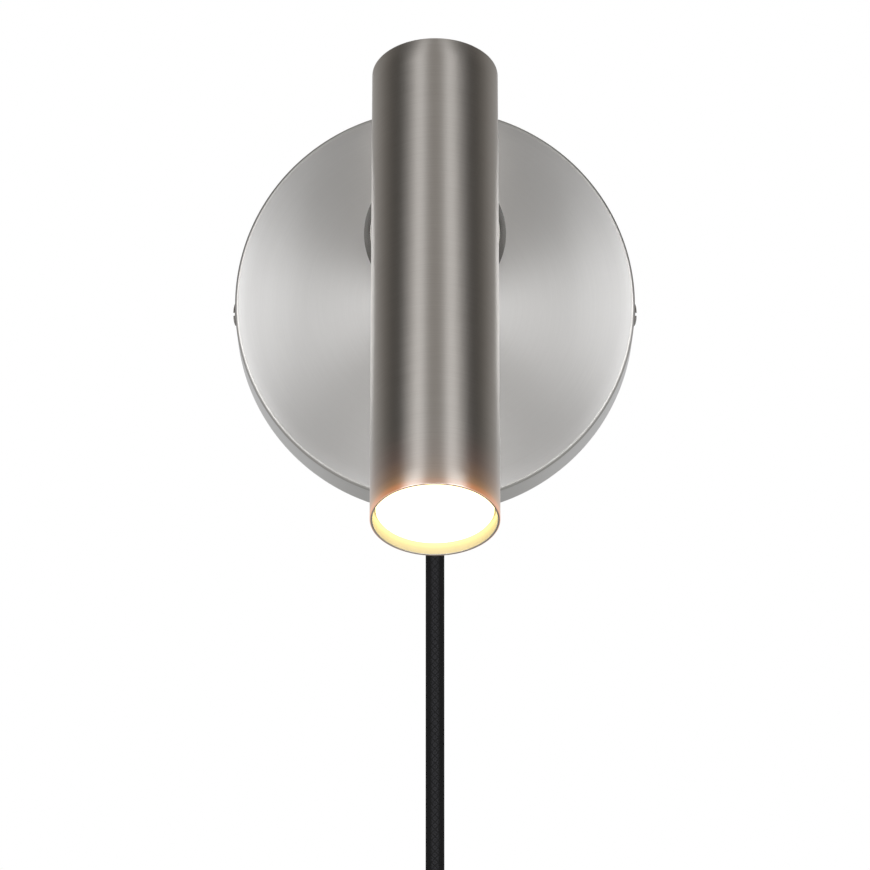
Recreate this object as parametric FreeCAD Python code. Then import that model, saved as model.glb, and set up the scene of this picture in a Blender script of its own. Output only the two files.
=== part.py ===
import FreeCAD, Part
import math
import os

# Tube wall light. Millimetres, +Z up. The wall is the plane y = 0 and the light faces -Y.
# The origin is the middle of the wall bracket's screw pattern, on the wall.

V = FreeCAD.Vector
X, Y, Z = V(1, 0, 0), V(0, 1, 0), V(0, 0, 1)

# --- clearances -------------------------------------------------------------------------
FIT = 0.06            # radial play of a shaft or screw in its hole
PLAY = 0.35           # air between parts that move on each other
SLIP = 0.15           # air round a cord or lead in its hole
EASE = 0.5            # play of a screw in a clearance hole, on the diameter

# --- canopy and wall bracket ---------------------------------------------------------------
CANOPY_D = 180.0
CANOPY_DEPTH = 33.0
CANOPY_WALL = 1.2
CANOPY_EDGE = 1.6     # outer radius of the pressed front edge
STRAP_W = 24.0
STRAP_T = 2.0
EAR_W = 15.0
EAR_LENGTH = 16.0
STRAP_BEND = 3.5      # outer bend radius of the strap
SLOT_SPACING = 60.0
SLOT_W = 4.5
SLOT_LENGTH = 12.0
RIM_SCREW_Y = 9.0     # height of the rim screws above the wall
RIM_SCREW_D = 4.0
RIM_HEAD_D = 10.7
RIM_HEAD_T = 1.4
RIM_SCREW_LENGTH = 9.0
SLOT_TURN = 12.0      # how far the tightened screws' slots stand off the level
EARTH_X = 52.0
EARTH_SCREW_D = 4.0
EARTH_HEAD_D = 8.0
EARTH_HEAD_T = 2.4
EARTH_WASHER_D = 10.0
EARTH_WASHER_T = 2.0

# --- terminal block -------------------------------------------------------------------------
WAY_PITCH = 10.0
WAYS = 3
BLOCK_LENGTH = 17.0
BLOCK_LOBE_D = 8.4
BLOCK_HEIGHT = 12.0
BLOCK_WEB = 5.0
INSERT_D = 4.4
INSERT_BORE = 2.9
TERMINAL_SCREW_D = 2.6
TERMINAL_SCREW_LENGTH = 5.2
FIXING_SCREW_D = 2.5
FIXING_HEAD_D = 4.6
FIXING_HEAD_T = 1.6

# --- cord ------------------------------------------------------------------------------------
CORD_D = 8.4
CORD_Y = 16.5         # the cord's distance from the wall
CORD_TOP = -78.0      # its end inside the canopy
GLAND_NECK_D = 13.0
GLAND_FLANGE_D = 17.0
GLAND_FLANGE_T = 3.0
GLAND_NOSE = 8.0
GLAND_NECK = 12.0
GLAND_NUT_AF = 17.0
GLAND_NUT_T = 3.5
GRUB_D = 3.0
GRUB_LENGTH = 4.0
LEAD_D = 2.2

# --- in-line switch --------------------------------------------------------------------------
SWITCH_TOP = -264.0
SWITCH_LENGTH = 58.0
SWITCH_W = 27.0
SWITCH_T = 19.0
SWITCH_WALL = 1.8
SWITCH_END = 9.0      # how far the cord's sheath goes into each end
SWITCH_NECK = 3.4     # from the cord to the switch's side at each end
SWITCH_POST_D = 5.6
SWITCH_SCREW_D = 2.2
SWITCH_HEAD_D = 4.0
SWITCH_HEAD_T = 1.6
ROCKER_LENGTH = 22.0
ROCKER_W = 11.0
ROCKER_PIN_D = 2.4
ROCKER_TILT = 8.0     # each way, degrees

# --- stored cord -----------------------------------------------------------------------------
COIL_R = 60.0
COIL_STEP = 9.0       # from one turn or layer to the next
COIL_TURNS = 6        # in and out together
COIL_DIP = 1.6        # how far the climbing half turn draws in to pass its neighbours
COIL_Z = -372.0
TIE_W = 9.0
TIE_T = 1.2
TIE_PLAY = 0.8
TIE_CORNER = 4.0

# --- plug ------------------------------------------------------------------------------------
PLUG_DROP = 76.0      # from the coil's middle to the plug's upper end
PLUG_RELIEF = 20.0
RELIEF_RINGS = 5
PLUG_D = 37.0
PLUG_LENGTH = 34.0
PLUG_SKIRT = 10.0     # height of the straight rim at its face
PLUG_NECK_D = 15.0
PLUG_GRIP = 26.4      # across the finger flats
CLIP_W = 6.8          # the grooves for a socket's earth clips
CLIP_LENGTH = 16.0
CLIP_DEPTH = 0.9
PLUG_PIN_D = 4.8
PLUG_PIN_PITCH = 19.0
PLUG_PIN_LENGTH = 19.0
PLUG_PIN_ROOT = 10.5  # how far a pin goes into the plug
PLUG_ROOT_D = 4.0

# --- swivel ----------------------------------------------------------------------------------
SWIVEL_Z = 32.0
ROSETTE_D = 64.0
ROSETTE_FACE_D = 58.4
ROSETTE_T = 5.0
ROSETTE_EDGE = 1.4
STEM_D = 10.0
STEM_BORE = 7.0
STEM_FLAT = 0.8       # depth of the flat that keys the stop washer
STEM_GRIP = 8.0       # length of the stem in the arm post
FRICTION_D = 22.0
FRICTION_T = 1.5
STOP_D = 19.0
STOP_T = 1.2
STOP_TAB_W = 3.0
STOP_R = 14.0         # the stop stud's distance from the swivel axis
STUD_D = 3.0
STUD_LENGTH = 5.2
SWIVEL_NUT_AF = 14.0
SWIVEL_NUT_T = 4.0
STEM_END = 2.0        # thread that shows past the nut

# --- arm and hinge ---------------------------------------------------------------------------
HINGE_Y = 66.5        # the hinge's distance from the wall
POST_D = 14.0
POST_COLLAR_D = 19.0
POST_COLLAR_T = 2.5
POST_LENGTH = 16.0
POST_ROOT = 1.2       # radius where the post meets its collar
TONGUE_R = 6.5
TONGUE_T = 8.0
HINGE_PIN_D = 5.0
CHEEK_T = 4.0
CHEEK_FLARE = 4.5     # how much wider a cheek is at its foot, each way
SADDLE_T = 3.15       # metal between the hinge's slot and the tube
PAD_W = 20.0
PAD_LENGTH = 34.0
PAD_CORNER = 4.0
HINGE_HEAD_D = 8.5
HINGE_HEAD_T = 3.0
HINGE_KEY_AF = 4.0
HINGE_KEY_DEPTH = 1.9
HINGE_WASHER_T = 1.1
HINGE_NUT_AF = 8.0
HINGE_NUT_T = 4.0
CLEVIS_SCREW_D = 4.0
CLEVIS_SCREW_PITCH = 24.0
CLEVIS_HEAD_D = 7.5
CLEVIS_HEAD_T = 2.2

# --- head ------------------------------------------------------------------------------------
TILT = 24.0           # the tube's lean from the wall's plane, degrees
TUBE_WALL = 1.2
TUBE_UP = 51.0        # from the hinge to the closed end, along the tube
TUBE_DOWN = 187.0     # from the hinge to the mouth
CAP_INSET = 1.0
CAP_T = 1.2
CAP_EDGE = 1.6
CAP_SKIRT = 7.0
CAP_VENTS = 10
VENT_W = 2.2
GROMMET_Z = 29.0
GROMMET_BORE = 5.6
GROMMET_HOLE = 8.0

# --- lamp and lampholder ---------------------------------------------------------------------
LAMP_D = 50.0
LAMP_CLEAR = 1.8      # air between the lamp and the tube
LAMP_INSET = 6.0      # from the tube's mouth to the lamp's face
LAMP_LENGTH = 48.0
LAMP_NECK_D = 21.0
LAMP_BASE = 7.0       # height of the lamp's straight base
LAMP_RIBS = 16
RIB_GAP = 1.6
LENS_D = 46.0
LENS_T = 3.0
LAMP_PIN_PITCH = 10.0
LAMP_PIN_D = 3.0
LAMP_PIN_HEAD_D = 5.0
LAMP_PIN_LENGTH = 7.0
LAMP_PIN_ROOT = 3.5   # how far a pin goes into the lamp
HOLDER_LENGTH = 28.0
HOLDER_W = 17.0
HOLDER_H = 16.0
HOLDER_SCREW_PITCH = 18.0
HOLDER_SCREW_D = 2.5
HOLDER_HEAD_D = 5.0
HOLDER_HEAD_T = 1.8
CARRIER_T = 1.5
CARRIER_W = 11.0
CARRIER_BEND = 3.0
LAMP_LEAD_X = 4.4
LEAD_SWING = 9.0      # how far a lamp lead runs beside the tube's axis, clear of the strip

RIM_R = CANOPY_D / 2
RIM_INSIDE = RIM_R - CANOPY_WALL
TUBE_INSIDE = LAMP_D / 2 + LAMP_CLEAR
TUBE_R = TUBE_INSIDE + TUBE_WALL
TUBE_AXIS = TUBE_R + SADDLE_T + PLAY + TONGUE_R        # from the hinge to the tube's axis
PLUG_TOP = COIL_Z - PLUG_DROP
DIAGONAL = math.sqrt(0.5)


# --- shapes ----------------------------------------------------------------------------------
def at(x, y, z):
    """A point given by its distance in front of the wall instead of its y."""
    return V(x, -y, z)


def wire(start, *steps):
    """A closed outline in the XY plane. A step is a point, or (middle, end) for an arc."""
    edges, here = [], V(start[0], start[1], 0)
    for step in (*steps, start):
        if isinstance(step[0], tuple):
            middle, end = V(*step[0], 0), V(*step[1], 0)
            edges.append(Part.Arc(here, middle, end).toShape())
        else:
            end = V(step[0], step[1], 0)
            if here.distanceToPoint(end) < 1e-6:
                continue
            edges.append(Part.LineSegment(here, end).toShape())
        here = end
    return Part.Wire(edges)


def slab(height, *outline, base=0.0):
    """An outline in XY raised along Z from base."""
    solid = Part.Face(wire(*outline)).extrude(V(0, 0, height))
    solid.translate(V(0, 0, base))
    return solid


def turned(*outline):
    """A solid turned about Z from an outline of (radius, height)."""
    solid = Part.Face(wire(*outline)).revolve(V(), Y, 360)
    solid.rotate(V(), X, 90)
    if solid.Volume < 0:
        solid.reverse()
    return solid


def rod(diameter, length, base=V(), along=Z):
    return Part.makeCylinder(diameter / 2, length, base, along)


def ring(outer, inner, length, base=V(), along=Z):
    return rod(outer, length, base, along).cut(rod(inner, length + 2, base - along, along))


def box(x0, x1, y0, y1, z0, z1):
    return Part.makeBox(x1 - x0, y1 - y0, z1 - z0, V(x0, y0, z0))


def hexagon(across_flats, height):
    """A nut blank about Z with its corners broken by a cone."""
    corner = across_flats / math.sqrt(3)
    points = [(corner * math.cos(math.radians(60 * i)), corner * math.sin(math.radians(60 * i)))
              for i in range(6)]
    blank = slab(height, *points)
    flat = across_flats / 2
    drop = (corner - flat) * math.tan(math.radians(30))
    dome = turned((0, 0), (flat * 0.98, 0), (corner, drop), (corner, height - drop),
                  (flat * 0.98, height), (0, height))
    return blank.common(dome)


def nut(across_flats, thread, height):
    return hexagon(across_flats, height).cut(rod(thread + 2 * FIT, height + 2, V(0, 0, -1)))


def dome_screw(head_d, head_t, shank_d, shank_length, slot=1.2):
    """A slotted screw about Z: its head's underside is at z = 0 and its shank points down."""
    r, edge = head_d / 2, 0.35 * head_t
    head = turned((0, 0), (r, 0), (r, edge), ((0.72 * r, 0.82 * head_t), (0.3 * r, head_t)), (0, head_t))
    shank = turned((0, 0.1), (shank_d / 2, 0.1), (shank_d / 2, 0.4 - shank_length),
                   (shank_d / 2 - 0.4, -shank_length), (0, -shank_length))
    groove = box(-r - 1, r + 1, -slot / 2, slot / 2, 0.45 * head_t, head_t + 1)
    return head.fuse(shank).removeSplitter().cut(groove)


def plate(width, height, corner, thickness):
    """A rectangle in XY with round corners, raised along Z."""
    w, h, r = width / 2, height / 2, corner
    k = r * (1 - DIAGONAL)
    return slab(thickness, (-w + r, -h), (w - r, -h), ((w - k, -h + k), (w, -h + r)), (w, h - r),
                ((w - k, h - k), (w - r, h)), (-w + r, h), ((-w + k, h - k), (-w, h - r)),
                (-w, -h + r), ((-w + k, -h + k), (-w + r, -h)))


def group(solids):
    return Part.makeCompound(solids)


def to_front(shape):
    """Turns a shape built along +Z so that its +Z points away from the wall."""
    shape.rotate(V(), X, 90)
    return shape


def on_swivel(shape):
    """The same, about the swivel axis."""
    to_front(shape)
    shape.translate(V(0, 0, SWIVEL_Z))
    return shape


def on_head(shape):
    """From the head's own frame (hinge at the origin, mouth down) to its place at rest."""
    shape.rotate(V(), X, -TILT)
    shape.translate(at(0, HINGE_Y, SWIVEL_Z))
    return shape


def rounded_run(points):
    """Straight runs joined by tangent arcs, each nearly as large as fits."""
    edges, here = [], points[0]
    for before, corner, after in zip(points, points[1:], points[2:]):
        one, two = corner - before, after - corner
        half = one.getAngle(two) / 2
        reach = 0.45 * min(one.Length, two.Length)
        radius = reach / math.tan(half)
        start = corner - V(one).normalize() * reach
        end = corner + V(two).normalize() * reach
        inward = (V(two).normalize() - V(one).normalize()).normalize()
        middle = corner + inward * (radius / math.cos(half) - radius)
        edges += [Part.LineSegment(here, start).toShape(), Part.Arc(start, middle, end).toShape()]
        here = end
    edges.append(Part.LineSegment(here, points[-1]).toShape())
    return Part.Wire(edges)


def tube_along(path, diameter, direction):
    """A round solid along a path that starts in the given direction."""
    start = path.OrderedVertexes[0].Point
    section = Part.Wire(Part.Circle(start, direction, diameter / 2).toShape())
    return path.makePipeShell([section], True, False)


# --- wall side -------------------------------------------------------------------------------
EAR_X = math.sqrt(RIM_INSIDE ** 2 - EAR_W ** 2 / 4) - PLAY      # the ears' outer faces


def make_wall_bracket():
    r, t, e, k = STRAP_BEND, STRAP_T, EAR_X, DIAGONAL
    outer = ((e - r + r * k, r - r * k), (e, r))
    inner = ((e - r + (r - t) * k, r - (r - t) * k), (e - r, t))
    outline = [
        (0, 0), (e - r, 0), outer, (e, EAR_LENGTH), (e - t, EAR_LENGTH), (e - t, r), inner,
        (-(e - r), t), ((-inner[0][0], inner[0][1]), (-(e - t), r)), (-(e - t), EAR_LENGTH),
        (-e, EAR_LENGTH), (-e, r), ((-outer[0][0], outer[0][1]), (-(e - r), 0)),
    ]
    strap = slab(STRAP_W, *outline, base=-STRAP_W / 2)
    strap = strap.mirror(V(), Y)
    trim = (STRAP_W - EAR_W) / 2
    for side in (-1, 1):
        for end in (-1, 1):
            x0 = side * (e - r) if side > 0 else -e - 1
            corner = box(x0, x0 + r + 1, -EAR_LENGTH - 1, 1, 0, trim + 1)
            corner.translate(V(0, 0, end * (STRAP_W / 2 - trim / 2 + 0.5) - (trim + 1) / 2))
            strap = strap.cut(corner)
        strap = strap.cut(rod(RIM_SCREW_D + 2 * FIT, 3 * r, at(side * (e - 2 * r), RIM_SCREW_Y, 0), X * side))
        strap = strap.cut(slot_cutter(side * SLOT_SPACING / 2))
    strap = strap.cut(rod(EARTH_SCREW_D + 2 * FIT, t + 2, at(EARTH_X, -1, 0), -Y))
    for x in fixing_places():
        strap = strap.cut(rod(FIXING_SCREW_D + 2 * FIT, t + 2, at(x, -1, 0), -Y))
    return strap


def slot_cutter(x):
    half = (SLOT_LENGTH - SLOT_W) / 2
    r = SLOT_W / 2
    cutter = slab(STRAP_T + 2, (x - half, -r), (x + half, -r), ((x + half + r, 0), (x + half, r)),
                  (x - half, r), ((x - half - r, 0), (x - half, -r)), base=-1)
    return to_front(cutter)


def make_canopy():
    r, d, t, e, k = RIM_R, CANOPY_DEPTH, CANOPY_WALL, CANOPY_EDGE, DIAGONAL
    i = e - t
    shell = turned((r - t, 0), (r, 0), (r, d - e), ((r - e + e * k, d - e + e * k), (r - e, d)),
                   (0, d), (0, d - t), (r - e, d - t), ((r - e + i * k, d - e + i * k), (r - t, d - e)))
    shell = to_front(shell)
    shell = shell.cut(rod(RIM_SCREW_D + EASE, CANOPY_D + 2, at(-r - 1, RIM_SCREW_Y, 0), X))
    shell = shell.cut(rod(STEM_D + 2 * FIT, d, at(0, d / 2, SWIVEL_Z), -Y))
    return shell.cut(rod(GLAND_NECK_D + 2 * FIT, r, at(0, CORD_Y, -r - 1), Z))


def make_canopy_screws():
    screws = []
    for side in (-1, 1):
        screw = dome_screw(RIM_HEAD_D, RIM_HEAD_T, RIM_SCREW_D, RIM_SCREW_LENGTH)
        screw.rotate(V(), Y, 90 * side)
        screw.rotate(V(), X, SLOT_TURN * side)
        screw.translate(at(side * RIM_R, RIM_SCREW_Y, 0))
        screws.append(screw)
    return group(screws)


def make_earth_screw():
    """The screw and its cup washer, whose lip holds the lead's loop."""
    seat, d, t = STRAP_T + EARTH_WASHER_T, EARTH_WASHER_D, EARTH_WASHER_T
    screw = dome_screw(EARTH_HEAD_D, EARTH_HEAD_T, EARTH_SCREW_D, seat - 0.2)
    screw.translate(V(0, 0, seat))
    washer = ring(d, EARTH_SCREW_D + EASE, t, V(0, 0, STRAP_T))
    washer = washer.cut(box(-d, d, 0.36 * d, d, STRAP_T + t / 2, seat + 1))
    for shape in (screw, washer):
        to_front(shape)
        shape.translate(V(EARTH_X, 0, 0))
    return screw, washer


def way_places():
    return [(i - (WAYS - 1) / 2) * WAY_PITCH for i in range(WAYS)]


def fixing_places():
    ways = way_places()
    return [(a + b) / 2 for a, b in zip(ways, ways[1:])]


WAY_Y = STRAP_T + BLOCK_LOBE_D / 2 + 0.4     # the wire ways' distance from the wall


def make_terminal_block():
    r = BLOCK_LOBE_D / 2
    top = STRAP_T + BLOCK_HEIGHT
    first, last = way_places()[0], way_places()[-1]
    body = box(first - r - 0.6, last + r + 0.6, -STRAP_T - BLOCK_WEB, -STRAP_T, -BLOCK_LENGTH / 2,
               BLOCK_LENGTH / 2)
    for x in way_places():
        lobe = slab(BLOCK_LENGTH, (x - r, STRAP_T), (x + r, STRAP_T), (x + r * 0.82, top - 1.2),
                    ((x, top), (x - r * 0.82, top - 1.2)), base=-BLOCK_LENGTH / 2)
        body = body.fuse(lobe.mirror(V(), Y))
    for x in way_places():
        body = body.cut(rod(INSERT_D + 2 * FIT, BLOCK_LENGTH + 2, at(x, WAY_Y, -BLOCK_LENGTH / 2 - 1), Z))
        for z in screw_rows():
            body = body.cut(rod(TERMINAL_SCREW_D + 1.0, BLOCK_HEIGHT, at(x, WAY_Y, z), -Y))
    for x in fixing_places():
        body = body.cut(rod(FIXING_SCREW_D + EASE, BLOCK_HEIGHT + 4, at(x, 0, 0), -Y))
        body = body.cut(rod(FIXING_HEAD_D + EASE, BLOCK_HEIGHT, at(x, STRAP_T + BLOCK_WEB, 0), -Y))
    return body.removeSplitter()


def screw_rows():
    return (-BLOCK_LENGTH / 4, BLOCK_LENGTH / 4)


def make_terminal_inserts():
    inserts = []
    for x in way_places():
        insert = ring(INSERT_D, INSERT_BORE, BLOCK_LENGTH - 4, at(x, WAY_Y, 2 - BLOCK_LENGTH / 2), Z)
        for z in screw_rows():
            insert = insert.cut(rod(TERMINAL_SCREW_D + 2 * FIT, INSERT_D, at(x, WAY_Y, z), -Y))
        inserts.append(insert)
    return group(inserts)


def make_terminal_screws():
    screws = []
    foot = WAY_Y + LEAD_D / 2 + 0.1
    for x in way_places():
        for z in screw_rows():
            screw = rod(TERMINAL_SCREW_D, TERMINAL_SCREW_LENGTH, at(x, foot, z), -Y)
            head = -foot - TERMINAL_SCREW_LENGTH
            screws.append(screw.cut(box(x - 2, x + 2, head - 1, head + 0.6, z - 0.3, z + 0.3)))
    return group(screws)


def make_fixing_screws():
    screws = []
    for x in fixing_places():
        screw = dome_screw(FIXING_HEAD_D, FIXING_HEAD_T, FIXING_SCREW_D, BLOCK_WEB + STRAP_T - 0.2, slot=0.7)
        screw.translate(V(0, 0, STRAP_T + BLOCK_WEB))
        to_front(screw)
        screw.translate(V(x, 0, 0))
        screws.append(screw)
    return group(screws)


def make_stop_stud():
    return rod(STUD_D, STUD_LENGTH, at(0, CANOPY_DEPTH - CANOPY_WALL, SWIVEL_Z + STOP_R), Y)


def make_cord_gland():
    flange, neck, nose = GLAND_FLANGE_D / 2, GLAND_NECK_D / 2, CORD_D / 2 + 1.5
    bore = CORD_D / 2 + SLIP
    gland = turned(
        (bore, -GLAND_FLANGE_T - GLAND_NOSE), (nose, -GLAND_FLANGE_T - GLAND_NOSE),
        (nose + 0.9, -GLAND_FLANGE_T), (flange - 0.6, -GLAND_FLANGE_T),
        ((flange - 0.15, 0.4 - GLAND_FLANGE_T), (flange, 0.8 - GLAND_FLANGE_T)),
        (flange, 0), (neck, 0), (neck, GLAND_NECK), (bore, GLAND_NECK))
    gland.translate(at(0, CORD_Y, -RIM_R))
    return gland.cut(rod(GRUB_D + 2 * FIT, GLAND_NECK_D, at(0, CORD_Y, GRUB_Z), -Y))


GLAND_NUT_Z = -math.sqrt(RIM_INSIDE ** 2 - GLAND_NUT_AF ** 2 / 3)
GRUB_Z = GLAND_NUT_Z + GLAND_NUT_T + 2.2


def make_gland_nut():
    shape = nut(GLAND_NUT_AF, GLAND_NECK_D, GLAND_NUT_T)
    shape.translate(at(0, CORD_Y, GLAND_NUT_Z))
    return shape


def make_gland_grub():
    tip = CORD_Y + CORD_D / 2 + 0.1
    grub = rod(GRUB_D, GRUB_LENGTH, at(0, tip, GRUB_Z), -Y)
    head = -tip - GRUB_LENGTH
    return grub.cut(box(-GRUB_D, GRUB_D, head - 1, head + 0.8, GRUB_Z - 0.35, GRUB_Z + 0.35))


def make_supply_leads():
    leads = []
    spread = CORD_D * 0.26
    for x, side in zip(way_places(), (-1, 0, 1)):
        start = at(side * spread, CORD_Y + (0.6 if side else -1.6), CORD_TOP)
        end = at(x, WAY_Y, -BLOCK_LENGTH / 2 + 3)
        points = [start, start + V(0, 0, 14), at(x * 1.25, WAY_Y + 4, -38), end - V(0, 0, 16), end]
        leads.append(tube_along(rounded_run(points), LEAD_D, Z))
    return group(leads)


# --- cord ------------------------------------------------------------------------------------
SWITCH_BOTTOM = SWITCH_TOP - SWITCH_LENGTH
CORD_OUT = SWITCH_BOTTOM + SWITCH_END    # the top of the lower cord, inside the switch


def make_cord_run():
    foot = SWITCH_TOP - SWITCH_END
    return rod(CORD_D, CORD_TOP - foot, at(0, CORD_Y, foot), Z)


def coil_place(turn):
    """A point of the wound cord: in at a steady rate, out again in front, and a climb between."""
    inward = (COIL_TURNS - 0.5) / 2
    angle = math.pi + 2 * math.pi * turn
    share = min(max((turn - inward) * 2, 0.0), 1.0)
    rise = (1 - math.cos(math.pi * share)) / 2
    r = COIL_R - COIL_STEP * min(turn, inward, COIL_TURNS - turn) - COIL_DIP * math.sin(math.pi * share)
    return at(COIL_R + r * math.cos(angle), CORD_Y + COIL_STEP * rise, COIL_Z + r * math.sin(angle))


def coil_heading(turn):
    step = 1e-4
    if turn < step or turn > COIL_TURNS - step:
        return V(0, 0, -1)
    return (coil_place(turn + step) - coil_place(turn - step)).normalize()


def arc_edge(start, corner, end):
    """The arc from start to end that is tangent to both legs of the corner."""
    middle = (start + end) / 2
    chord, height = start.distanceToPoint(end) / 2, middle.distanceToPoint(corner)
    if height < 1e-5:
        return Part.LineSegment(start, end).toShape()
    half = math.atan2(height, chord)
    return Part.Arc(start, middle + (corner - middle) * (math.tan(half / 2) / math.tan(half)), end).toShape()


def biarc(p0, t0, p1, t1):
    """Two tangent arcs from p0, heading t0, to p1, heading t1."""
    v, t = p1 - p0, t0 + t1
    bend = 2 * (1 - t0.dot(t1))
    reach = (-v.dot(t) + math.sqrt(v.dot(t) ** 2 + bend * v.dot(v))) / bend
    q0, q1 = p0 + t0 * reach, p1 - t1 * reach
    middle = (q0 + q1) / 2
    return [arc_edge(p0, q0, middle), arc_edge(middle, q1, p1)]


def coil_path():
    top = at(0, CORD_Y, CORD_OUT)
    first = coil_place(0)
    edges = [Part.LineSegment(top, first).toShape()]
    quarters = 4 * COIL_TURNS
    for i in range(quarters):
        a, b = i / 4, (i + 1) / 4
        edges += biarc(coil_place(a), coil_heading(a), coil_place(b), coil_heading(b))
    last = coil_place(COIL_TURNS)
    edges.append(Part.LineSegment(last, V(last.x, last.y, PLUG_TOP)).toShape())
    return Part.Wire(edges)


def least_gap(path):
    """The least distance between the surfaces of two turns, measured on points of the centreline."""
    points = path.discretize(Distance=3.0)
    apart = int(2.5 * CORD_D / 3.0) + 1
    least = min(a.distanceToPoint(b) for i, a in enumerate(points) for b in points[i + apart:])
    return least - CORD_D


def make_cord_coil():
    path = coil_path()
    coil = tube_along(path, CORD_D, V(0, 0, -1))
    by_length = math.pi * CORD_D ** 2 / 4 * path.Length
    print(f"coil: {path.Length:.0f} mm of cord, volume {coil.Volume / by_length:.4f} of section x length,",
          f"least gap {least_gap(path):.2f} mm")
    return coil


def make_coil_tie():
    """A band round the turns at the top of the coil, where the wound cord is in two layers."""
    inward = (COIL_TURNS - 0.5) / 2
    low = COIL_R - COIL_STEP * inward - CORD_D / 2
    high = COIL_R - COIL_STEP * 0.25 + CORD_D / 2
    mid, half = (low + high) / 2, (high - low) / 2 + TIE_PLAY
    depth = CORD_Y + COIL_STEP / 2
    thick = (COIL_STEP + CORD_D) / 2 + TIE_PLAY / 2
    tie = plate(2 * (thick + TIE_T), 2 * (half + TIE_T), TIE_CORNER + TIE_T, TIE_W)
    tie = tie.cut(plate(2 * thick, 2 * half, TIE_CORNER, TIE_W))
    tie.translate(V(0, 0, -TIE_W / 2))
    # the plate's x now runs along y, its y along z, and the band's width along x
    tie.rotate(V(), Y, 90)
    tie.rotate(V(), X, 90)
    tie.translate(at(COIL_R, depth, COIL_Z + mid))
    return tie


# --- in-line switch --------------------------------------------------------------------------
def switch_blank(shrink):
    """The switch's outer form, or its hollow when shrunk by the wall."""
    w, h = SWITCH_W / 2 - shrink, SWITCH_LENGTH / 2 - shrink
    t = SWITCH_T / 2 - shrink
    neck = CORD_D / 2 + SWITCH_NECK - shrink
    shoulder = h - 15
    plan = slab(2 * t, (-w, 0), (-w, -shoulder), ((-w + 1.6, -h + 7), (-neck, -h)), (neck, -h),
                ((w - 1.6, -h + 7), (w, -shoulder)), (w, shoulder), ((w - 1.6, h - 7), (neck, h)),
                (-neck, h), ((-w + 1.6, h - 7), (-w, shoulder)), base=-t)
    side = slab(2 * w + 2, (-t + 0.6, -h), (t - 2.0, -h), ((t - 0.5, -h / 2), (t, 0)),
                ((t - 0.5, h / 2), (t - 2.0, h)), (-t + 0.6, h), ((-t, 0), (-t + 0.6, -h)), base=-w - 1)
    side.rotate(V(), Y, 90)
    return plan, side.mirror(V(), X)


def make_switch_halves():
    """Front and back shells, parted through the cord's axis."""
    shells = []
    for shrink in (0.0, SWITCH_WALL):
        plan, side = switch_blank(shrink)
        shells.append(plan.common(side))
    block = shells[0].cut(shells[1])
    for end in (-1, 1):
        start = SWITCH_LENGTH / 2 - SWITCH_END - 3
        length = SWITCH_END + 3 - SWITCH_WALL / 2
        solid_end = rod(CORD_D + 5.4, length, V(0, end * start, 0), Y * end)
        mouth = V(0, end * (SWITCH_LENGTH / 2 + 1), 0)
        block = block.fuse(solid_end.common(shells[0]))
        block = block.cut(rod(CORD_D + 2 * SLIP, SWITCH_END + 5, mouth, Y * -end))
    for x, y in screw_posts():
        post = rod(SWITCH_POST_D, SWITCH_T, V(x, y, -SWITCH_T / 2), Z).common(shells[0])
        block = block.fuse(post)
    # the rocker's opening and its pin's seats
    half_w, half_l = ROCKER_W / 2 + PLAY, ROCKER_LENGTH / 2 + PLAY
    for side in (-1, 1):
        x0, x1 = sorted((side * half_w, side * (half_w + 2.0)))
        cheek = box(x0, x1, -4, 4, ROCKER_AXIS - 3.2, SWITCH_T / 2)
        block = block.fuse(cheek.common(shells[0]))
    block = block.cut(box(-half_w, half_w, -half_l, half_l, 0.5, SWITCH_T))
    block = block.cut(rod(ROCKER_PIN_D + 2 * FIT, 2 * half_w + 3.0, V(-half_w - 1.5, 0, ROCKER_AXIS), X))
    for x, y in screw_posts():
        block = block.cut(rod(SWITCH_SCREW_D + 2 * FIT, SWITCH_T - 3.5, V(x, y, 1.0 - SWITCH_T / 2), Z))
        block = block.cut(rod(SWITCH_HEAD_D + EASE, SWITCH_SEAT + 1, V(x, y, -1 - SWITCH_T / 2), Z))
    size = SWITCH_LENGTH
    front = block.common(box(-size, size, -size, size, 0.05, size)).removeSplitter()
    back = block.common(box(-size, size, -size, size, -size, -0.05)).removeSplitter()
    return place_switch(front), place_switch(back)


def screw_posts():
    x = SWITCH_W / 2 - SWITCH_WALL - 2.4
    y = ROCKER_LENGTH / 2 + 4.6
    return [(-x, y), (x, -y)]


ROCKER_AXIS = SWITCH_T / 2 - 3.2
SWITCH_SEAT = SWITCH_HEAD_T + 0.4       # depth of the seats for the screws' heads


def place_switch(shape):
    """From the switch's own frame (its face up +Z, its length along Y) to its place on the cord."""
    to_front(shape)
    shape.translate(at(0, CORD_Y, SWITCH_TOP - SWITCH_LENGTH / 2))
    return shape


def make_switch_screws():
    screws = []
    for x, y in screw_posts():
        screw = dome_screw(SWITCH_HEAD_D, SWITCH_HEAD_T, SWITCH_SCREW_D, SWITCH_T - 6.0, slot=0.7)
        screw.rotate(V(), X, 180)
        screw.translate(V(x, y, SWITCH_SEAT - SWITCH_T / 2))
        screws.append(place_switch(screw))
    return group(screws)


def make_switch_contacts():
    z = -SWITCH_T / 2 + SWITCH_WALL + 0.3
    strips = []
    for y in (-7.0, 7.0):
        strip = box(-4, 4, y - 3, y + 3, z, z + 1.0).fuse(rod(3.0, 1.6, V(0, y, z), Z))
        strips.append(place_switch(strip))
    return group(strips)


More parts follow.
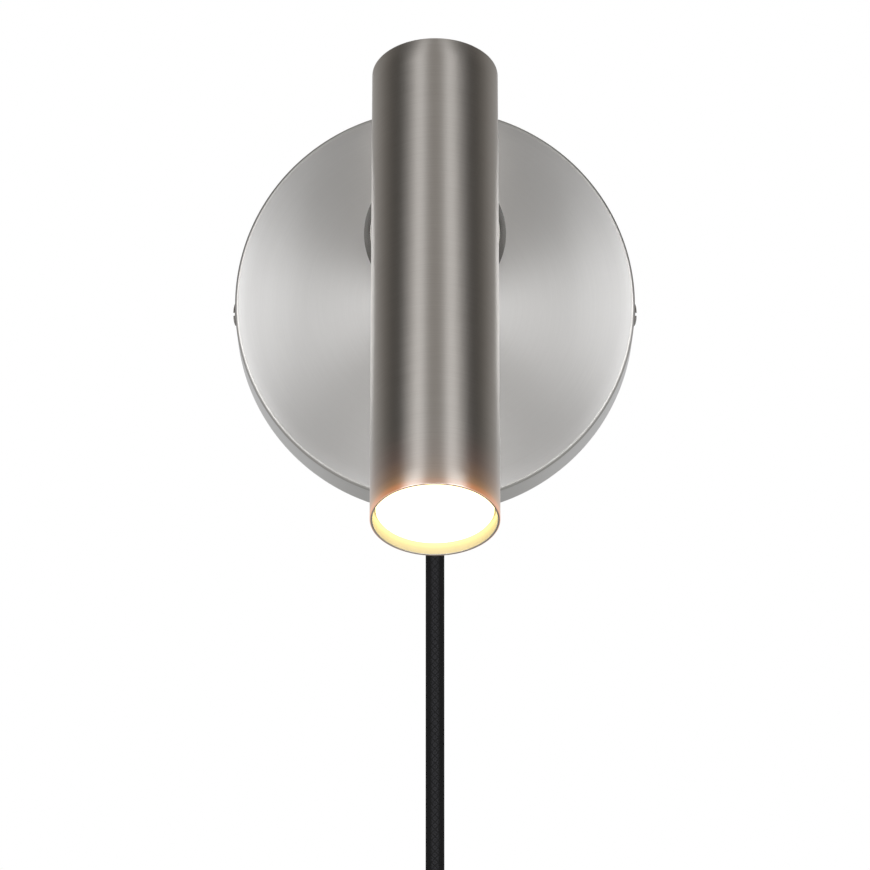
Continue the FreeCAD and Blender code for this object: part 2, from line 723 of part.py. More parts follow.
def make_switch_rocker():
    half = ROCKER_LENGTH / 2 - 0.5
    top = SWITCH_T / 2 - ROCKER_AXIS
    dish = slab(ROCKER_W, (-half, 0.4), (half, 0.4), (half, top + 1.6), ((0, top + 0.5), (-half, top + 1.6)),
                base=-ROCKER_W / 2)
    keel = slab(ROCKER_W - 3, (-3.2, 0.5), (3.2, 0.5), (1.6, -2.4), (-1.6, -2.4), base=-(ROCKER_W - 3) / 2)
    for shape in (dish, keel):
        shape.rotate(V(), X, 90)
        shape.rotate(V(), Z, 90)
    pin_half = ROCKER_W / 2 + PLAY + 1.2
    rocker = dish.fuse(keel).fuse(rod(ROCKER_PIN_D, 2 * pin_half, V(-pin_half, 0, 0), X)).removeSplitter()
    rocker.rotate(V(), X, ROCKER_TILT)
    rocker.translate(V(0, 0, ROCKER_AXIS))
    return place_switch(rocker)


# --- plug ------------------------------------------------------------------------------------
def plug_axis_y():
    return -coil_place(COIL_TURNS).y


def make_plug_body():
    """A straight round plug with flats for the fingers and a groove each side for the earth clips."""
    r, top = PLUG_D / 2, -PLUG_RELIEF
    face = top - PLUG_LENGTH
    body = turned((0, top), (PLUG_NECK_D / 2, top), ((12.0, top - 2.0), (14.5, top - 8.0)),
                  (r - 1.5, face + PLUG_SKIRT + 2), (r, face + PLUG_SKIRT), (r, face), (0, face))
    for side in (-1, 1):
        clip = box(-CLIP_W / 2, CLIP_W / 2, r - CLIP_DEPTH, r + 1, face - 1, face + CLIP_LENGTH)
        grip = box(PLUG_GRIP / 2, r + 1, -r, r, face + PLUG_SKIRT, top + 1)
        for cutter in (clip, grip):
            cutter.rotate(V(), Z, 90 - 90 * side)
            body = body.cut(cutter)
        hole = V(side * PLUG_PIN_PITCH / 2, 0, face - 1)
        body = body.cut(rod(PLUG_ROOT_D + 2 * FIT, PLUG_PIN_ROOT + 1.5, hole, Z))
    body.translate(at(0, plug_axis_y(), PLUG_TOP))
    return body.removeSplitter()


def make_plug_relief():
    """A tapered sleeve with ring grooves."""
    bore = CORD_D / 2 + SLIP
    outline = [(bore, 0.0), (bore + 1.1, 0.0)]
    pitch = (PLUG_RELIEF - 2.5) / RELIEF_RINGS
    for i in range(RELIEF_RINGS):
        z = -1.5 - i * pitch
        r = bore + 1.3 + 1.6 * i / RELIEF_RINGS
        outline += [(r, z), (r + 0.1, z - 0.62 * pitch), (r - 0.7, z - 0.62 * pitch), (r - 0.7, z - pitch)]
    outline += [(bore + 3.1, 0.5 - PLUG_RELIEF), (bore + 3.1, -PLUG_RELIEF), (bore, -PLUG_RELIEF)]
    relief = turned(*outline)
    relief.translate(at(0, plug_axis_y(), PLUG_TOP))
    return relief


def make_plug_pins():
    """Stepped pins: a thinner root in the plug, and full diameter from the plug's face on."""
    pins = []
    root, r, tip = PLUG_ROOT_D / 2, PLUG_PIN_D / 2, -PLUG_PIN_LENGTH
    for side in (-1, 1):
        pin = turned((0, PLUG_PIN_ROOT), (root, PLUG_PIN_ROOT), (root, 0), (r, 0), (r, tip + 1),
                     ((0.76 * r, tip + 0.25), (0.5, tip)), (0, tip))
        pin.translate(at(side * PLUG_PIN_PITCH / 2, plug_axis_y(), PLUG_TOP - PLUG_RELIEF - PLUG_LENGTH))
        pins.append(pin)
    return group(pins)


# --- swivel and arm --------------------------------------------------------------------------
ROSETTE_BACK = CANOPY_DEPTH + PLAY
ROSETTE_FRONT = ROSETTE_BACK + ROSETTE_T
WASHER_FRONT = CANOPY_DEPTH - CANOPY_WALL - PLAY
STOP_FRONT = WASHER_FRONT - FRICTION_T
NUT_FRONT = STOP_FRONT - STOP_T
STEM_BACK = NUT_FRONT - SWIVEL_NUT_T - STEM_END
POST_FRONT = ROSETTE_FRONT + POST_LENGTH


def make_rosette():
    r, face = ROSETTE_D / 2, ROSETTE_FACE_D / 2
    disc = turned((STEM_D / 2 + FIT, ROSETTE_BACK), (r, ROSETTE_BACK), (r, ROSETTE_BACK + ROSETTE_EDGE),
                  (face, ROSETTE_FRONT - 0.3), (face - 0.3, ROSETTE_FRONT), (STEM_D / 2 + FIT, ROSETTE_FRONT))
    return on_swivel(disc)


def make_swivel_stem():
    """A hollow threaded stem with a flat that keys the stop washer."""
    top = ROSETTE_FRONT + STEM_GRIP
    stem = turned((STEM_BORE / 2, STEM_BACK), (STEM_D / 2 - 0.5, STEM_BACK), (STEM_D / 2, STEM_BACK + 0.5),
                  (STEM_D / 2, top), (STEM_BORE / 2, top))
    flat = box(-STEM_D, STEM_D, STEM_D / 2 - STEM_FLAT, STEM_D, STEM_BACK - 1, WASHER_FRONT)
    return on_swivel(stem.cut(flat))


def make_friction_washer():
    return on_swivel(ring(FRICTION_D, STEM_D + 2 * FIT, FRICTION_T, V(0, 0, STOP_FRONT)))


def make_stop_washer():
    disc = rod(STOP_D, STOP_T, V(0, 0, NUT_FRONT))
    reach = STOP_R + STUD_D / 2 + 0.5
    tab = box(-STOP_TAB_W / 2, STOP_TAB_W / 2, -reach, 0, NUT_FRONT, STOP_FRONT)
    hole = rod(STEM_D + 2 * FIT, STOP_T + 2, V(0, 0, NUT_FRONT - 1))
    hole = hole.cut(box(-STEM_D, STEM_D, STEM_D / 2 - STEM_FLAT + FIT, STEM_D, NUT_FRONT - 2, STOP_FRONT + 2))
    return on_swivel(disc.fuse(tab).removeSplitter().cut(hole))


def make_swivel_nut():
    shape = nut(SWIVEL_NUT_AF, STEM_D, SWIVEL_NUT_T)
    shape.translate(V(0, 0, NUT_FRONT - SWIVEL_NUT_T))
    return on_swivel(shape)


def make_arm_post():
    """A turned post with a collar at its foot, flattened to a round-ended tongue at the hinge."""
    r, collar, foot = POST_D / 2, POST_COLLAR_D / 2, ROSETTE_FRONT
    top, root = foot + POST_COLLAR_T, POST_ROOT
    k = root * (1 - DIAGONAL)
    post = turned((0, foot), (collar, foot), (collar, top - 0.6), (collar - 0.6, top), (r + root, top),
                  ((r + k, top + k), (r, top + root)), (r, POST_FRONT - 1.0), (r - 1.0, POST_FRONT),
                  (0, POST_FRONT))
    t = TONGUE_R
    tongue = slab(TONGUE_T, (POST_FRONT - 4, -t), (HINGE_Y, -t), ((HINGE_Y + t, 0), (HINGE_Y, t)),
                  (POST_FRONT - 4, t), base=-TONGUE_T / 2)
    tongue.rotate(V(), Y, -90)       # outline x now runs along +Z, its thickness along x
    post = post.fuse(tongue).removeSplitter()
    post = post.cut(rod(STEM_D + 2 * FIT, STEM_GRIP + 1, V(0, 0, foot - 0.5)))
    post = post.cut(rod(STEM_BORE - 1, STEM_GRIP + 4, V(0, 0, foot)))
    side_exit = rod(STEM_BORE - 1, 2 * r, V(0, 0, foot + STEM_GRIP + 2.0), V(0, 1, 0.5).normalize())
    post = post.cut(side_exit)
    post = post.cut(rod(HINGE_PIN_D + 2 * FIT, TONGUE_T + 2, V(-TONGUE_T / 2 - 1, 0, HINGE_Y), X))
    return on_swivel(post)


# --- head, in its own frame: hinge at the origin, tube's axis at y = -TUBE_AXIS, mouth at -Z --
WALL_Y = -(TUBE_AXIS - TUBE_R)        # the tube's outer surface under the hinge
PAD_TOP = -(TONGUE_R + PLAY)
CHEEK_X = TONGUE_T / 2 + PLAY
CARRIER_Y = -(TUBE_AXIS - math.sqrt(TUBE_INSIDE ** 2 - CARRIER_W ** 2 / 4) + 0.05)
LAMP_FACE = -TUBE_DOWN + LAMP_INSET
LAMP_BACK = LAMP_FACE + LAMP_LENGTH
HOLDER_FOOT = LAMP_BACK + PLAY
HOLDER_TOP = HOLDER_FOOT + HOLDER_H
CARRIER_FOOT = HOLDER_TOP
CARRIER_TOP = CLEVIS_SCREW_PITCH / 2 + 6.0


def tube_line(z):
    return V(0, -TUBE_AXIS, z)


def make_lamp_tube():
    tube = ring(2 * TUBE_R, 2 * TUBE_INSIDE, TUBE_UP + TUBE_DOWN, tube_line(-TUBE_DOWN))
    for z in clevis_screw_places():
        tube = tube.cut(rod(CLEVIS_SCREW_D + 2 * FIT, 2 * TUBE_R, tube_line(z), Y))
    tube = tube.cut(rod(GROMMET_HOLE, 2 * TUBE_R, tube_line(GROMMET_Z), Y))
    return on_head(tube)


def clevis_screw_places():
    return (-CLEVIS_SCREW_PITCH / 2, CLEVIS_SCREW_PITCH / 2)


def make_top_cap():
    """A pressed cup pushed into the tube's upper end, with a ring of rounded heat slots."""
    r, t, top, e = TUBE_INSIDE - FIT, CAP_T, TUBE_UP - CAP_INSET, CAP_EDGE
    k, i = e * (1 - DIAGONAL), (e - t) * DIAGONAL
    cup = turned((0, top), (r - e, top), ((r - k, top - k), (r, top - e)), (r, top - CAP_SKIRT),
                 (r - t, top - CAP_SKIRT), (r - t, top - e), ((r - e + i, top - e + i), (r - e, top - t)),
                 (0, top - t))
    inner, outer, w = 0.42 * r, 0.8 * r, VENT_W / 2
    slot = slab(t + 2, (inner, -w), (outer, -w), ((outer + w, 0), (outer, w)), (inner, w),
                ((inner - w, 0), (inner, -w)), base=top - t - 1)
    for i in range(CAP_VENTS):
        vent = slot.copy()
        vent.rotate(V(), Z, 360.0 / CAP_VENTS * (i + 0.5))
        cup = cup.cut(vent)
    cup.translate(V(0, -TUBE_AXIS, 0))
    return on_head(cup)


def make_hinge_clevis():
    """Two cheeks on a saddle that is hollowed to the tube's radius."""
    t = TONGUE_R
    foot, half = PAD_TOP - 0.5, t + CHEEK_FLARE
    web = slab(2 * (CHEEK_X + CHEEK_T), (0, -t), ((t, 0), (0, t)), (foot, half), (foot, -half),
               base=-(CHEEK_X + CHEEK_T))
    web.rotate(V(), Y, -90)      # outline x to z
    web.rotate(V(), X, -90)      # and z to y
    below = TUBE_AXIS - math.sqrt(TUBE_R ** 2 - PAD_W ** 2 / 4)      # where the tube passes the pad's sides
    pad = plate(PAD_W, PAD_LENGTH, PAD_CORNER, below + PAD_TOP + 1)
    pad.rotate(V(), X, 90)       # its thickness now runs along -Y
    pad.translate(V(0, PAD_TOP, 0))
    saddle = web.fuse(pad).cut(rod(2 * TUBE_R, 2 * PAD_LENGTH, tube_line(-PAD_LENGTH)))
    saddle = saddle.cut(box(-CHEEK_X, CHEEK_X, PAD_TOP, 3 * t, -PAD_LENGTH, PAD_LENGTH))
    saddle = saddle.cut(rod(HINGE_PIN_D + 2 * FIT, 4 * t, V(-2 * t, 0, 0), X))
    for z in clevis_screw_places():
        saddle = saddle.cut(rod(CLEVIS_SCREW_D + 2 * FIT, TUBE_AXIS, V(0, -TUBE_AXIS, z), Y))
    return on_head(saddle.removeSplitter())


def make_clevis_screws():
    screws = []
    inner = CARRIER_Y - CARRIER_T
    for z in clevis_screw_places():
        screw = dome_screw(CLEVIS_HEAD_D, CLEVIS_HEAD_T, CLEVIS_SCREW_D, PAD_TOP - inner - 0.2)
        screw.rotate(V(), X, 90)     # its shank now points along +Y
        screw.translate(V(0, inner, z))
        screws.append(on_head(screw))
    return group(screws)


def make_hinge_screw():
    out, r = CHEEK_X + CHEEK_T, HINGE_HEAD_D / 2
    length = 2 * out + HINGE_WASHER_T + HINGE_NUT_T + 0.8
    screw = turned((0, HINGE_HEAD_T), (r - 0.5, HINGE_HEAD_T), (r, HINGE_HEAD_T - 0.5), (r, 0),
                   (HINGE_PIN_D / 2, 0), (HINGE_PIN_D / 2, 0.5 - length), (HINGE_PIN_D / 2 - 0.5, -length),
                   (0, -length))
    key = hexagon(HINGE_KEY_AF, HINGE_KEY_DEPTH + 1)
    key.translate(V(0, 0, HINGE_HEAD_T - HINGE_KEY_DEPTH))
    screw = screw.cut(key)
    screw.rotate(V(), Y, 90)
    screw.translate(V(out, 0, 0))
    return on_head(screw)


def make_hinge_washer():
    """A split spring washer."""
    out = CHEEK_X + CHEEK_T
    washer = ring(HINGE_HEAD_D, HINGE_PIN_D + 2 * SLIP, HINGE_WASHER_T, V(-out - HINGE_WASHER_T, 0, 0), X)
    return on_head(washer.cut(box(-2 * out, 0, -0.4, 0.4, 0, HINGE_HEAD_D)))


def make_hinge_nut():
    shape = nut(HINGE_NUT_AF, HINGE_PIN_D, HINGE_NUT_T)
    shape.rotate(V(), Y, -90)
    shape.translate(V(-(CHEEK_X + CHEEK_T + HINGE_WASHER_T), 0, 0))
    return on_head(shape)


def make_carrier():
    """A bent strip: its long leg lies along the tube's back, its foot crosses to the lampholder."""
    y, t, b, foot, k = CARRIER_Y, CARRIER_T, CARRIER_BEND, CARRIER_FOOT, DIAGONAL
    end = -TUBE_AXIS - HOLDER_LENGTH / 2 + 1.0
    i = b - t
    strip = slab(CARRIER_W, (y, CARRIER_TOP), (y, foot + b),
                 ((y - b + b * k, foot + b - b * k), (y - b, foot)), (end, foot), (end, foot + t),
                 (y - b, foot + t),
                 ((y - b + i * k, foot + b - i * k), (y - t, foot + b)), (y - t, CARRIER_TOP),
                 base=-CARRIER_W / 2)
    # outline (y, z) with its width along x
    strip.rotate(V(), X, 90)
    strip.rotate(V(), Z, 90)
    for z in clevis_screw_places():
        strip = strip.cut(rod(CLEVIS_SCREW_D + 2 * FIT, 6, V(0, y - 3, z), Y))
    for side in (-1, 1):
        hole = tube_line(foot - 2) + Y * side * HOLDER_SCREW_PITCH / 2
        strip = strip.cut(rod(HOLDER_SCREW_D + 2 * FIT, 6, hole))
        half = LEAD_D / 2 + 0.6
        x0, x1 = sorted((side * LAMP_LEAD_X, side * CARRIER_W))
        strip = strip.cut(rod(2 * half, 6, tube_line(foot - 2) + X * side * LAMP_LEAD_X))
        strip = strip.cut(box(x0, x1, -TUBE_AXIS - half, -TUBE_AXIS + half, foot - 2, foot + t + 2))
    return on_head(strip)


def make_lampholder():
    """A ceramic block with rounded ends, two pin sockets below and two lead holes above."""
    half, w = (HOLDER_LENGTH - HOLDER_W) / 2, HOLDER_W / 2
    block = slab(HOLDER_H, (-w, -half), ((0, -half - w), (w, -half)), (w, half), ((0, half + w), (-w, half)),
                 base=HOLDER_FOOT)
    step = rod(LAMP_NECK_D - 2, 1.2, V(0, 0, HOLDER_TOP - 1.2))
    block = block.fuse(step).removeSplitter()
    block.translate(V(0, -TUBE_AXIS, 0))
    for side in (-1, 1):
        pin = tube_line(HOLDER_FOOT - 1) + Y * side * LAMP_PIN_PITCH / 2
        block = block.cut(rod(LAMP_PIN_HEAD_D + 0.6, LAMP_PIN_LENGTH + 1.6, pin))
        lead = tube_line(HOLDER_TOP - 6) + X * side * LAMP_LEAD_X
        block = block.cut(rod(LEAD_D + 2 * SLIP, 8, lead))
        hole = tube_line(HOLDER_TOP - 5.4) + Y * side * HOLDER_SCREW_PITCH / 2
        block = block.cut(rod(HOLDER_SCREW_D + 2 * FIT, 8, hole))
    return on_head(block)


def make_holder_screws():
    screws = []
    for side in (-1, 1):
        screw = dome_screw(HOLDER_HEAD_D, HOLDER_HEAD_T, HOLDER_SCREW_D, CARRIER_T + 5.0, slot=0.8)
        screw.translate(tube_line(CARRIER_FOOT + CARRIER_T) + Y * side * HOLDER_SCREW_PITCH / 2)
        screws.append(on_head(screw))
    return group(screws)


def make_lamp_body():
    """A reflector lamp's body: narrow base, ribbed shoulder, rim round the lens."""
    r, neck, back, face = LAMP_D / 2, LAMP_NECK_D / 2, LAMP_BACK, LAMP_FACE
    well, base = LENS_D / 2 + 0.1, LAMP_BACK - LAMP_BASE
    body = turned((0, back), (neck - 1, back), (neck, back - 1), (neck, base), (neck + 2.5, base - 2),
                  ((neck + 6.5, base - 10), (r - 1.5, face + 11)), (r, face + 7.5), (r, face + 0.6),
                  (r - 0.6, face), (well, face), (well, face + LENS_T), (0, face + LENS_T))
    for i in range(LAMP_RIBS):
        groove = box(neck + 1.6, r + 2, -RIB_GAP / 2, RIB_GAP / 2, face + 12, base - 2)
        groove.rotate(V(), Z, 360.0 / LAMP_RIBS * i)
        body = body.cut(groove)
    body.translate(V(0, -TUBE_AXIS, 0))
    for side in (-1, 1):
        socket = tube_line(back - LAMP_PIN_ROOT - 0.5) + Y * side * LAMP_PIN_PITCH / 2
        body = body.cut(rod(LAMP_PIN_D + 2 * FIT, LAMP_PIN_ROOT + 1.5, socket))
    return on_head(body)


def make_lamp_lens():
    r, face = LENS_D / 2, LAMP_FACE
    lens = turned((0, face + LENS_T), (r, face + LENS_T), (r, face + 0.8),
                  ((r * 0.55, face + 0.2), (1.0, face)), (0, face))
    lens.translate(V(0, -TUBE_AXIS, 0))
    return on_head(lens)


def make_lamp_pins():
    pins = []
    r, head, end = LAMP_PIN_D / 2, LAMP_PIN_HEAD_D / 2, LAMP_PIN_LENGTH
    for side in (-1, 1):
        pin = turned((0, -LAMP_PIN_ROOT), (r, -LAMP_PIN_ROOT), (r, end - 2.6), (head, end - 2.6),
                     (head, end - 0.4), (head - 0.4, end), (0, end))
        pin.translate(tube_line(LAMP_BACK) + Y * side * LAMP_PIN_PITCH / 2)
        pins.append(on_head(pin))
    return group(pins)


def make_lamp_leads():
    """Two heat-proof leads up the tube from the lampholder to the grommet."""
    leads = []
    for side in (-1, 1):
        x, swing = side * LAMP_LEAD_X, side * LEAD_SWING
        out = side * (GROMMET_BORE / 2 - LEAD_D / 2 - 0.1)
        points = [tube_line(HOLDER_TOP - 4) + X * x, tube_line(HOLDER_TOP + 12) + X * x,
                  tube_line(HOLDER_TOP + 45) + V(swing, 2, 0), tube_line(GROMMET_Z - 49) + V(swing, 4, 0),
                  tube_line(GROMMET_Z - 17) + V(0.67 * swing, 6, 0), V(out, WALL_Y - 12, GROMMET_Z),
                  V(out, WALL_Y + 3, GROMMET_Z)]
        leads.append(on_head(tube_along(rounded_run(points), LEAD_D, Z)))
    return group(leads)


def make_lead_grommet():
    """A soft ring whose groove takes the tube's curved wall."""
    hole, bore = GROMMET_HOLE / 2, GROMMET_BORE / 2
    lip, bead, ease = hole + 1.5, 1.4, 0.1
    low = math.sqrt(TUBE_INSIDE ** 2 - lip ** 2) - TUBE_R - ease
    grommet = turned((bore, low - bead), (lip - 0.5, low - bead), ((lip - 0.1, low - 0.9), (lip, low)),
                     (hole - FIT, low), (hole - FIT, ease), (lip, ease),
                     ((lip - 0.1, ease + 0.9), (lip - 0.5, ease + bead)), (bore, ease + bead))
    grommet.rotate(V(), X, -90)
    grommet.translate(V(0, WALL_Y, GROMMET_Z))
    return on_head(grommet)


# --- export ----------------------------------------------------------------------------------
def parts():
    earth_screw, earth_washer = make_earth_screw()
    switch_front, switch_back = make_switch_halves()
    return {
        "wall_bracket": make_wall_bracket(),
        "canopy": make_canopy(),
        "canopy_screws": make_canopy_screws(),
        "earth_screw": earth_screw,
        "earth_washer": earth_washer,
        "terminal_block": make_terminal_block(),
        "terminal_inserts": make_terminal_inserts(),
        "terminal_screws": make_terminal_screws(),
        "terminal_fixing_screws": make_fixing_screws(),
        "stop_stud": make_stop_stud(),
        "cord_gland": make_cord_gland(),
        "gland_nut": make_gland_nut(),
        "gland_grub_screw": make_gland_grub(),
        "supply_leads": make_supply_leads(),
        "cord_run": make_cord_run(),
        "cord_coil": make_cord_coil(),
        "coil_tie": make_coil_tie(),
        "switch_front": switch_front,
        "switch_back": switch_back,
        "switch_screws": make_switch_screws(),
        "switch_contacts": make_switch_contacts(),
        "switch_rocker": make_switch_rocker(),
        "plug_body": make_plug_body(),
        "plug_relief": make_plug_relief(),
        "plug_pins": make_plug_pins(),
        "rosette": make_rosette(),
        "swivel_stem": make_swivel_stem(),
        "friction_washer": make_friction_washer(),
        "stop_washer": make_stop_washer(),
        "swivel_nut": make_swivel_nut(),
        "arm_post": make_arm_post(),
        "lamp_tube": make_lamp_tube(),
        "top_cap": make_top_cap(),
        "hinge_clevis": make_hinge_clevis(),
        "clevis_screws": make_clevis_screws(),
        "hinge_screw": make_hinge_screw(),
        "hinge_washer": make_hinge_washer(),
        "hinge_nut": make_hinge_nut(),
        "lampholder_bracket": make_carrier(),
        "lampholder": make_lampholder(),
        "holder_screws": make_holder_screws(),
        "lamp_body": make_lamp_body(),
        "lamp_lens": make_lamp_lens(),
        "lamp_pins": make_lamp_pins(),
        "lamp_leads": make_lamp_leads(),
        "lead_grommet": make_lead_grommet(),
    }


os.makedirs("parts", exist_ok=True)
for name, shape in parts().items():
    print(f"{name:24s} solids {len(shape.Solids)}  volume {shape.Volume:9.1f}  valid {shape.isValid()}")
    shape.exportStep(f"parts/{name}.step")
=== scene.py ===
# %% [markdown]
# # A tube wall light
# A round pressed canopy carries a swivelling arm, and the arm carries a long brushed tube with a
# reflector lamp in its mouth. A black textile lead hangs from the canopy. The rigid pieces come
# from the frame, in metres, with the wall at y = 0 and the light facing -Y. This script gives each
# piece its finish, remakes the turned shells with finer curves, and lays the cord.

# %% Load the frame
import math

import bmesh
import bpy
from mathutils import Matrix, Vector


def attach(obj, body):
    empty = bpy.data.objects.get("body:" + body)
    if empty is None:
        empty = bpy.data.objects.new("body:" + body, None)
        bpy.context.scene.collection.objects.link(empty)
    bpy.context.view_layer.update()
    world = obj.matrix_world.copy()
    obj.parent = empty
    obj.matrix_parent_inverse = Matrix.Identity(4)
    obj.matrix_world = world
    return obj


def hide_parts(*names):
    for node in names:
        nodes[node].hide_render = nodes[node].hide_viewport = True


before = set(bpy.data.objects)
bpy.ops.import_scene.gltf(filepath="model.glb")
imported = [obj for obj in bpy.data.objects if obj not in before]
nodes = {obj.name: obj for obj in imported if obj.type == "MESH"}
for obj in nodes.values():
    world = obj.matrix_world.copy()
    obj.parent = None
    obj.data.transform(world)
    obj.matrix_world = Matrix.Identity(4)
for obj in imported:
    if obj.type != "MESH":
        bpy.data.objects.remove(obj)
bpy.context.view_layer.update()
MM = 0.001
print("pieces in the frame:", len(nodes))

# %% [markdown]
# ## The camera
# The photograph was taken from far off, a little below the light. A camera can be moved by eye until
# the picture looks right, but the canopy's ellipse and the tube's mouth agree only for one distance,
# tilt and lens, so these come from a fit. The focal length is in pixels of the square frame, and
# Blender's lens follows from it and the sensor's width. Lengths are in metres.

# %% Camera
PHOTO_SIDE = 870
FOCAL_PIXELS = 7487.0
SENSOR_MM = 36.0
CAMERA_DISTANCE = 3.4
CAMERA_PITCH = math.radians(10.4)
CAMERA_DROP = -0.053
FARTHEST_SEEN = 50.0

camera_data = bpy.data.cameras.new("camera")
camera_data.sensor_width = SENSOR_MM
camera_data.lens = FOCAL_PIXELS / PHOTO_SIDE * SENSOR_MM
camera_data.clip_end = FARTHEST_SEEN
camera = bpy.data.objects.new("camera", camera_data)
bpy.context.collection.objects.link(camera)
forward = Vector((0.0, math.cos(CAMERA_PITCH), math.sin(CAMERA_PITCH)))
upward = Vector((0.0, -math.sin(CAMERA_PITCH), math.cos(CAMERA_PITCH)))
camera.location = upward * CAMERA_DROP - forward * CAMERA_DISTANCE
camera.rotation_euler = (math.radians(90) + CAMERA_PITCH, 0.0, 0.0)
bpy.context.scene.camera = camera
print(f"lens: {camera_data.lens:.1f} mm, {CAMERA_DISTANCE} m away")

# %% [markdown]
# ## Skins over rings
# Turned parts and cords are both skins over rings: circles round an axis, or circles along a line.
# Blender's Screw modifier and a curve's bevel could make them too, but neither gives a UV map in
# real sizes, and brushing and braid follow the surface. So one function makes the skin and writes
# that map: its first number is the share of a turn, and its second the way along in millimetres.

# %% Mesh helpers
UV_MAP = "finish"


def new_object(name, mesh):
    """An object at the origin, unturned and unscaled."""
    piece = bpy.data.objects.new(name, mesh)
    bpy.context.collection.objects.link(piece)
    return piece


def evaluated_mesh(piece):
    """The plain mesh that a piece's curve or modifiers give."""
    graph = bpy.context.evaluated_depsgraph_get()
    return bpy.data.meshes.new_from_object(piece.evaluated_get(graph))


def smooth(mesh, degrees=30.0):
    """Smooth shading with crisp edges where the faces turn by more than the angle."""
    mesh.shade_smooth()
    mesh.set_sharp_from_angle(angle=math.radians(degrees))


def circle(centre, side, across, radius, sides):
    """Points of a circle, in the plane of two directions."""
    turns = [2 * math.pi * k / sides for k in range(sides)]
    return [centre + (side * math.cos(t) + across * math.sin(t)) * radius for t in turns]


def mesh_from_rings(name, rings, along, closed=True):
    """A skin over rings of equal size. UV: x is the share of a turn, y the way along in mm."""
    count = len(rings[0])
    faces, places = [], []
    for row in range(len(rings) - 1):
        this, following = row * count, (row + 1) * count
        for column in range(count if closed else count - 1):
            beside = (column + 1) % count
            faces.append((this + column, this + beside, following + beside, following + column))
            places.append(((column, row), (column + 1, row),
                           (column + 1, row + 1), (column, row + 1)))
    mesh = bpy.data.meshes.new(name)
    mesh.from_pydata([point for ring in rings for point in ring], [], faces)
    uv = mesh.uv_layers.new(name=UV_MAP)
    for polygon, corners in zip(mesh.polygons, places):
        for loop, (column, row) in zip(polygon.loop_indices, corners):
            uv.data[loop].uv = (column / count, along[row] / MM)
    return mesh


# %% [markdown]
# ## Finishes
# Real metal looks like metal because of what it reflects and how its surface was worked. A picture
# of brushed metal could be wrapped round each part, but it blurs up close and stretches at edges.
# Nodes work the finish out at every point instead, from sizes in millimetres. Colours are written
# as the hex values a screen shows, and one function turns them to the linear light Blender needs.


# %% Material helpers
def linear(hex_colour):
    """An sRGB hex colour as linear RGBA."""
    parts = [int(hex_colour[i:i + 2], 16) / 255 for i in (0, 2, 4)]
    return tuple(c / 12.92 if c <= 0.04045 else ((c + 0.055) / 1.055) ** 2.4 for c in parts) + (1.0,)


def add(tree, kind, settings=None, inputs=None):
    """Adds a node, with its settings, and its inputs as values or as links from other sockets."""
    node = tree.nodes.new(kind)
    for key, value in (settings or {}).items():
        setattr(node, key, value)
    for key, value in (inputs or {}).items():
        if isinstance(value, bpy.types.NodeSocket):
            tree.links.new(value, node.inputs[key])
        else:
            node.inputs[key].default_value = value
    return node


def new_material(name, base, metallic=0.0, roughness=0.5, more=None):
    """A material with one Principled shader. Gives the material, its node tree and the shader."""
    material = bpy.data.materials.new(name)
    material.use_nodes = True
    tree = material.node_tree
    shader = tree.nodes["Principled BSDF"]
    values = {"Base Color": linear(base), "Metallic": metallic, "Roughness": roughness}
    for key, value in (values | (more or {})).items():
        shader.inputs[key].default_value = value
    return material, tree, shader


# %% [markdown]
# ## Moulded, fired, lacquered and plated surfaces
# Plastic takes the mould's fine grain, unglazed ceramic is chalky, and bright plate keeps a trace of
# the metal under it. What they share is an even grain in gloss and relief, and a slow drift of the
# shade. So one function makes them all from a grain size in millimetres. Object coordinates hold the
# grain still on the piece. The real grains are 0.05 to 0.2 mm, too fine to show here, so each is
# drawn at 0.25 to 0.8 mm.

# %% Grained surfaces
DRIFT_PER_METRE = 60.0      # patches of a slightly different shade, about 17 mm wide
GLOSS_DRIFT = 0.15          # how far the grain moves the roughness, as a share of it


def grained(name, low, high, roughness, grain_mm, bump_mm, metallic=0.0):
    """A surface with a fine even grain, between two shades."""
    material, tree, shader = new_material(name, high, metallic, roughness)
    place = add(tree, "ShaderNodeTexCoord").outputs["Object"]
    grain = add(tree, "ShaderNodeTexNoise", inputs={
        "Vector": place, "Scale": 1.0 / (grain_mm * MM), "Detail": 3.0, "Roughness": 0.6})
    drift = add(tree, "ShaderNodeTexNoise", inputs={
        "Vector": place, "Scale": DRIFT_PER_METRE, "Detail": 3.0})
    shade = add(tree, "ShaderNodeMix", {"data_type": "RGBA"}, {
        "Factor": drift.outputs["Fac"], "A": linear(low), "B": linear(high)})
    tree.links.new(shade.outputs["Result"], shader.inputs["Base Color"])
    rough = add(tree, "ShaderNodeMapRange", inputs={
        "Value": grain.outputs["Fac"], "From Min": 0.3, "From Max": 0.7,
        "To Min": roughness * (1 - GLOSS_DRIFT), "To Max": min(1.0, roughness * (1 + GLOSS_DRIFT))})
    tree.links.new(rough.outputs["Result"], shader.inputs["Roughness"])
    bump = add(tree, "ShaderNodeBump", inputs={
        "Strength": 0.3, "Distance": bump_mm * MM, "Height": grain.outputs["Fac"]})
    tree.links.new(bump.outputs["Normal"], shader.inputs["Normal"])
    return material


# Steel, zinc-plated in a bath: a cool satin grey, a little cloudy.
zinc_plate = grained("zinc_plated_steel", "a3a6a8", "bcc0c2", 0.38, 0.4, 0.01, metallic=1.0)
# Turned parts, nickel-plated: warm and bright, with the cut's faint unevenness in the shine.
polished_nickel = grained("nickel_plated_turned_parts", "b4aea6", "cfc9c0", 0.24, 0.5, 0.006,
                          metallic=1.0)
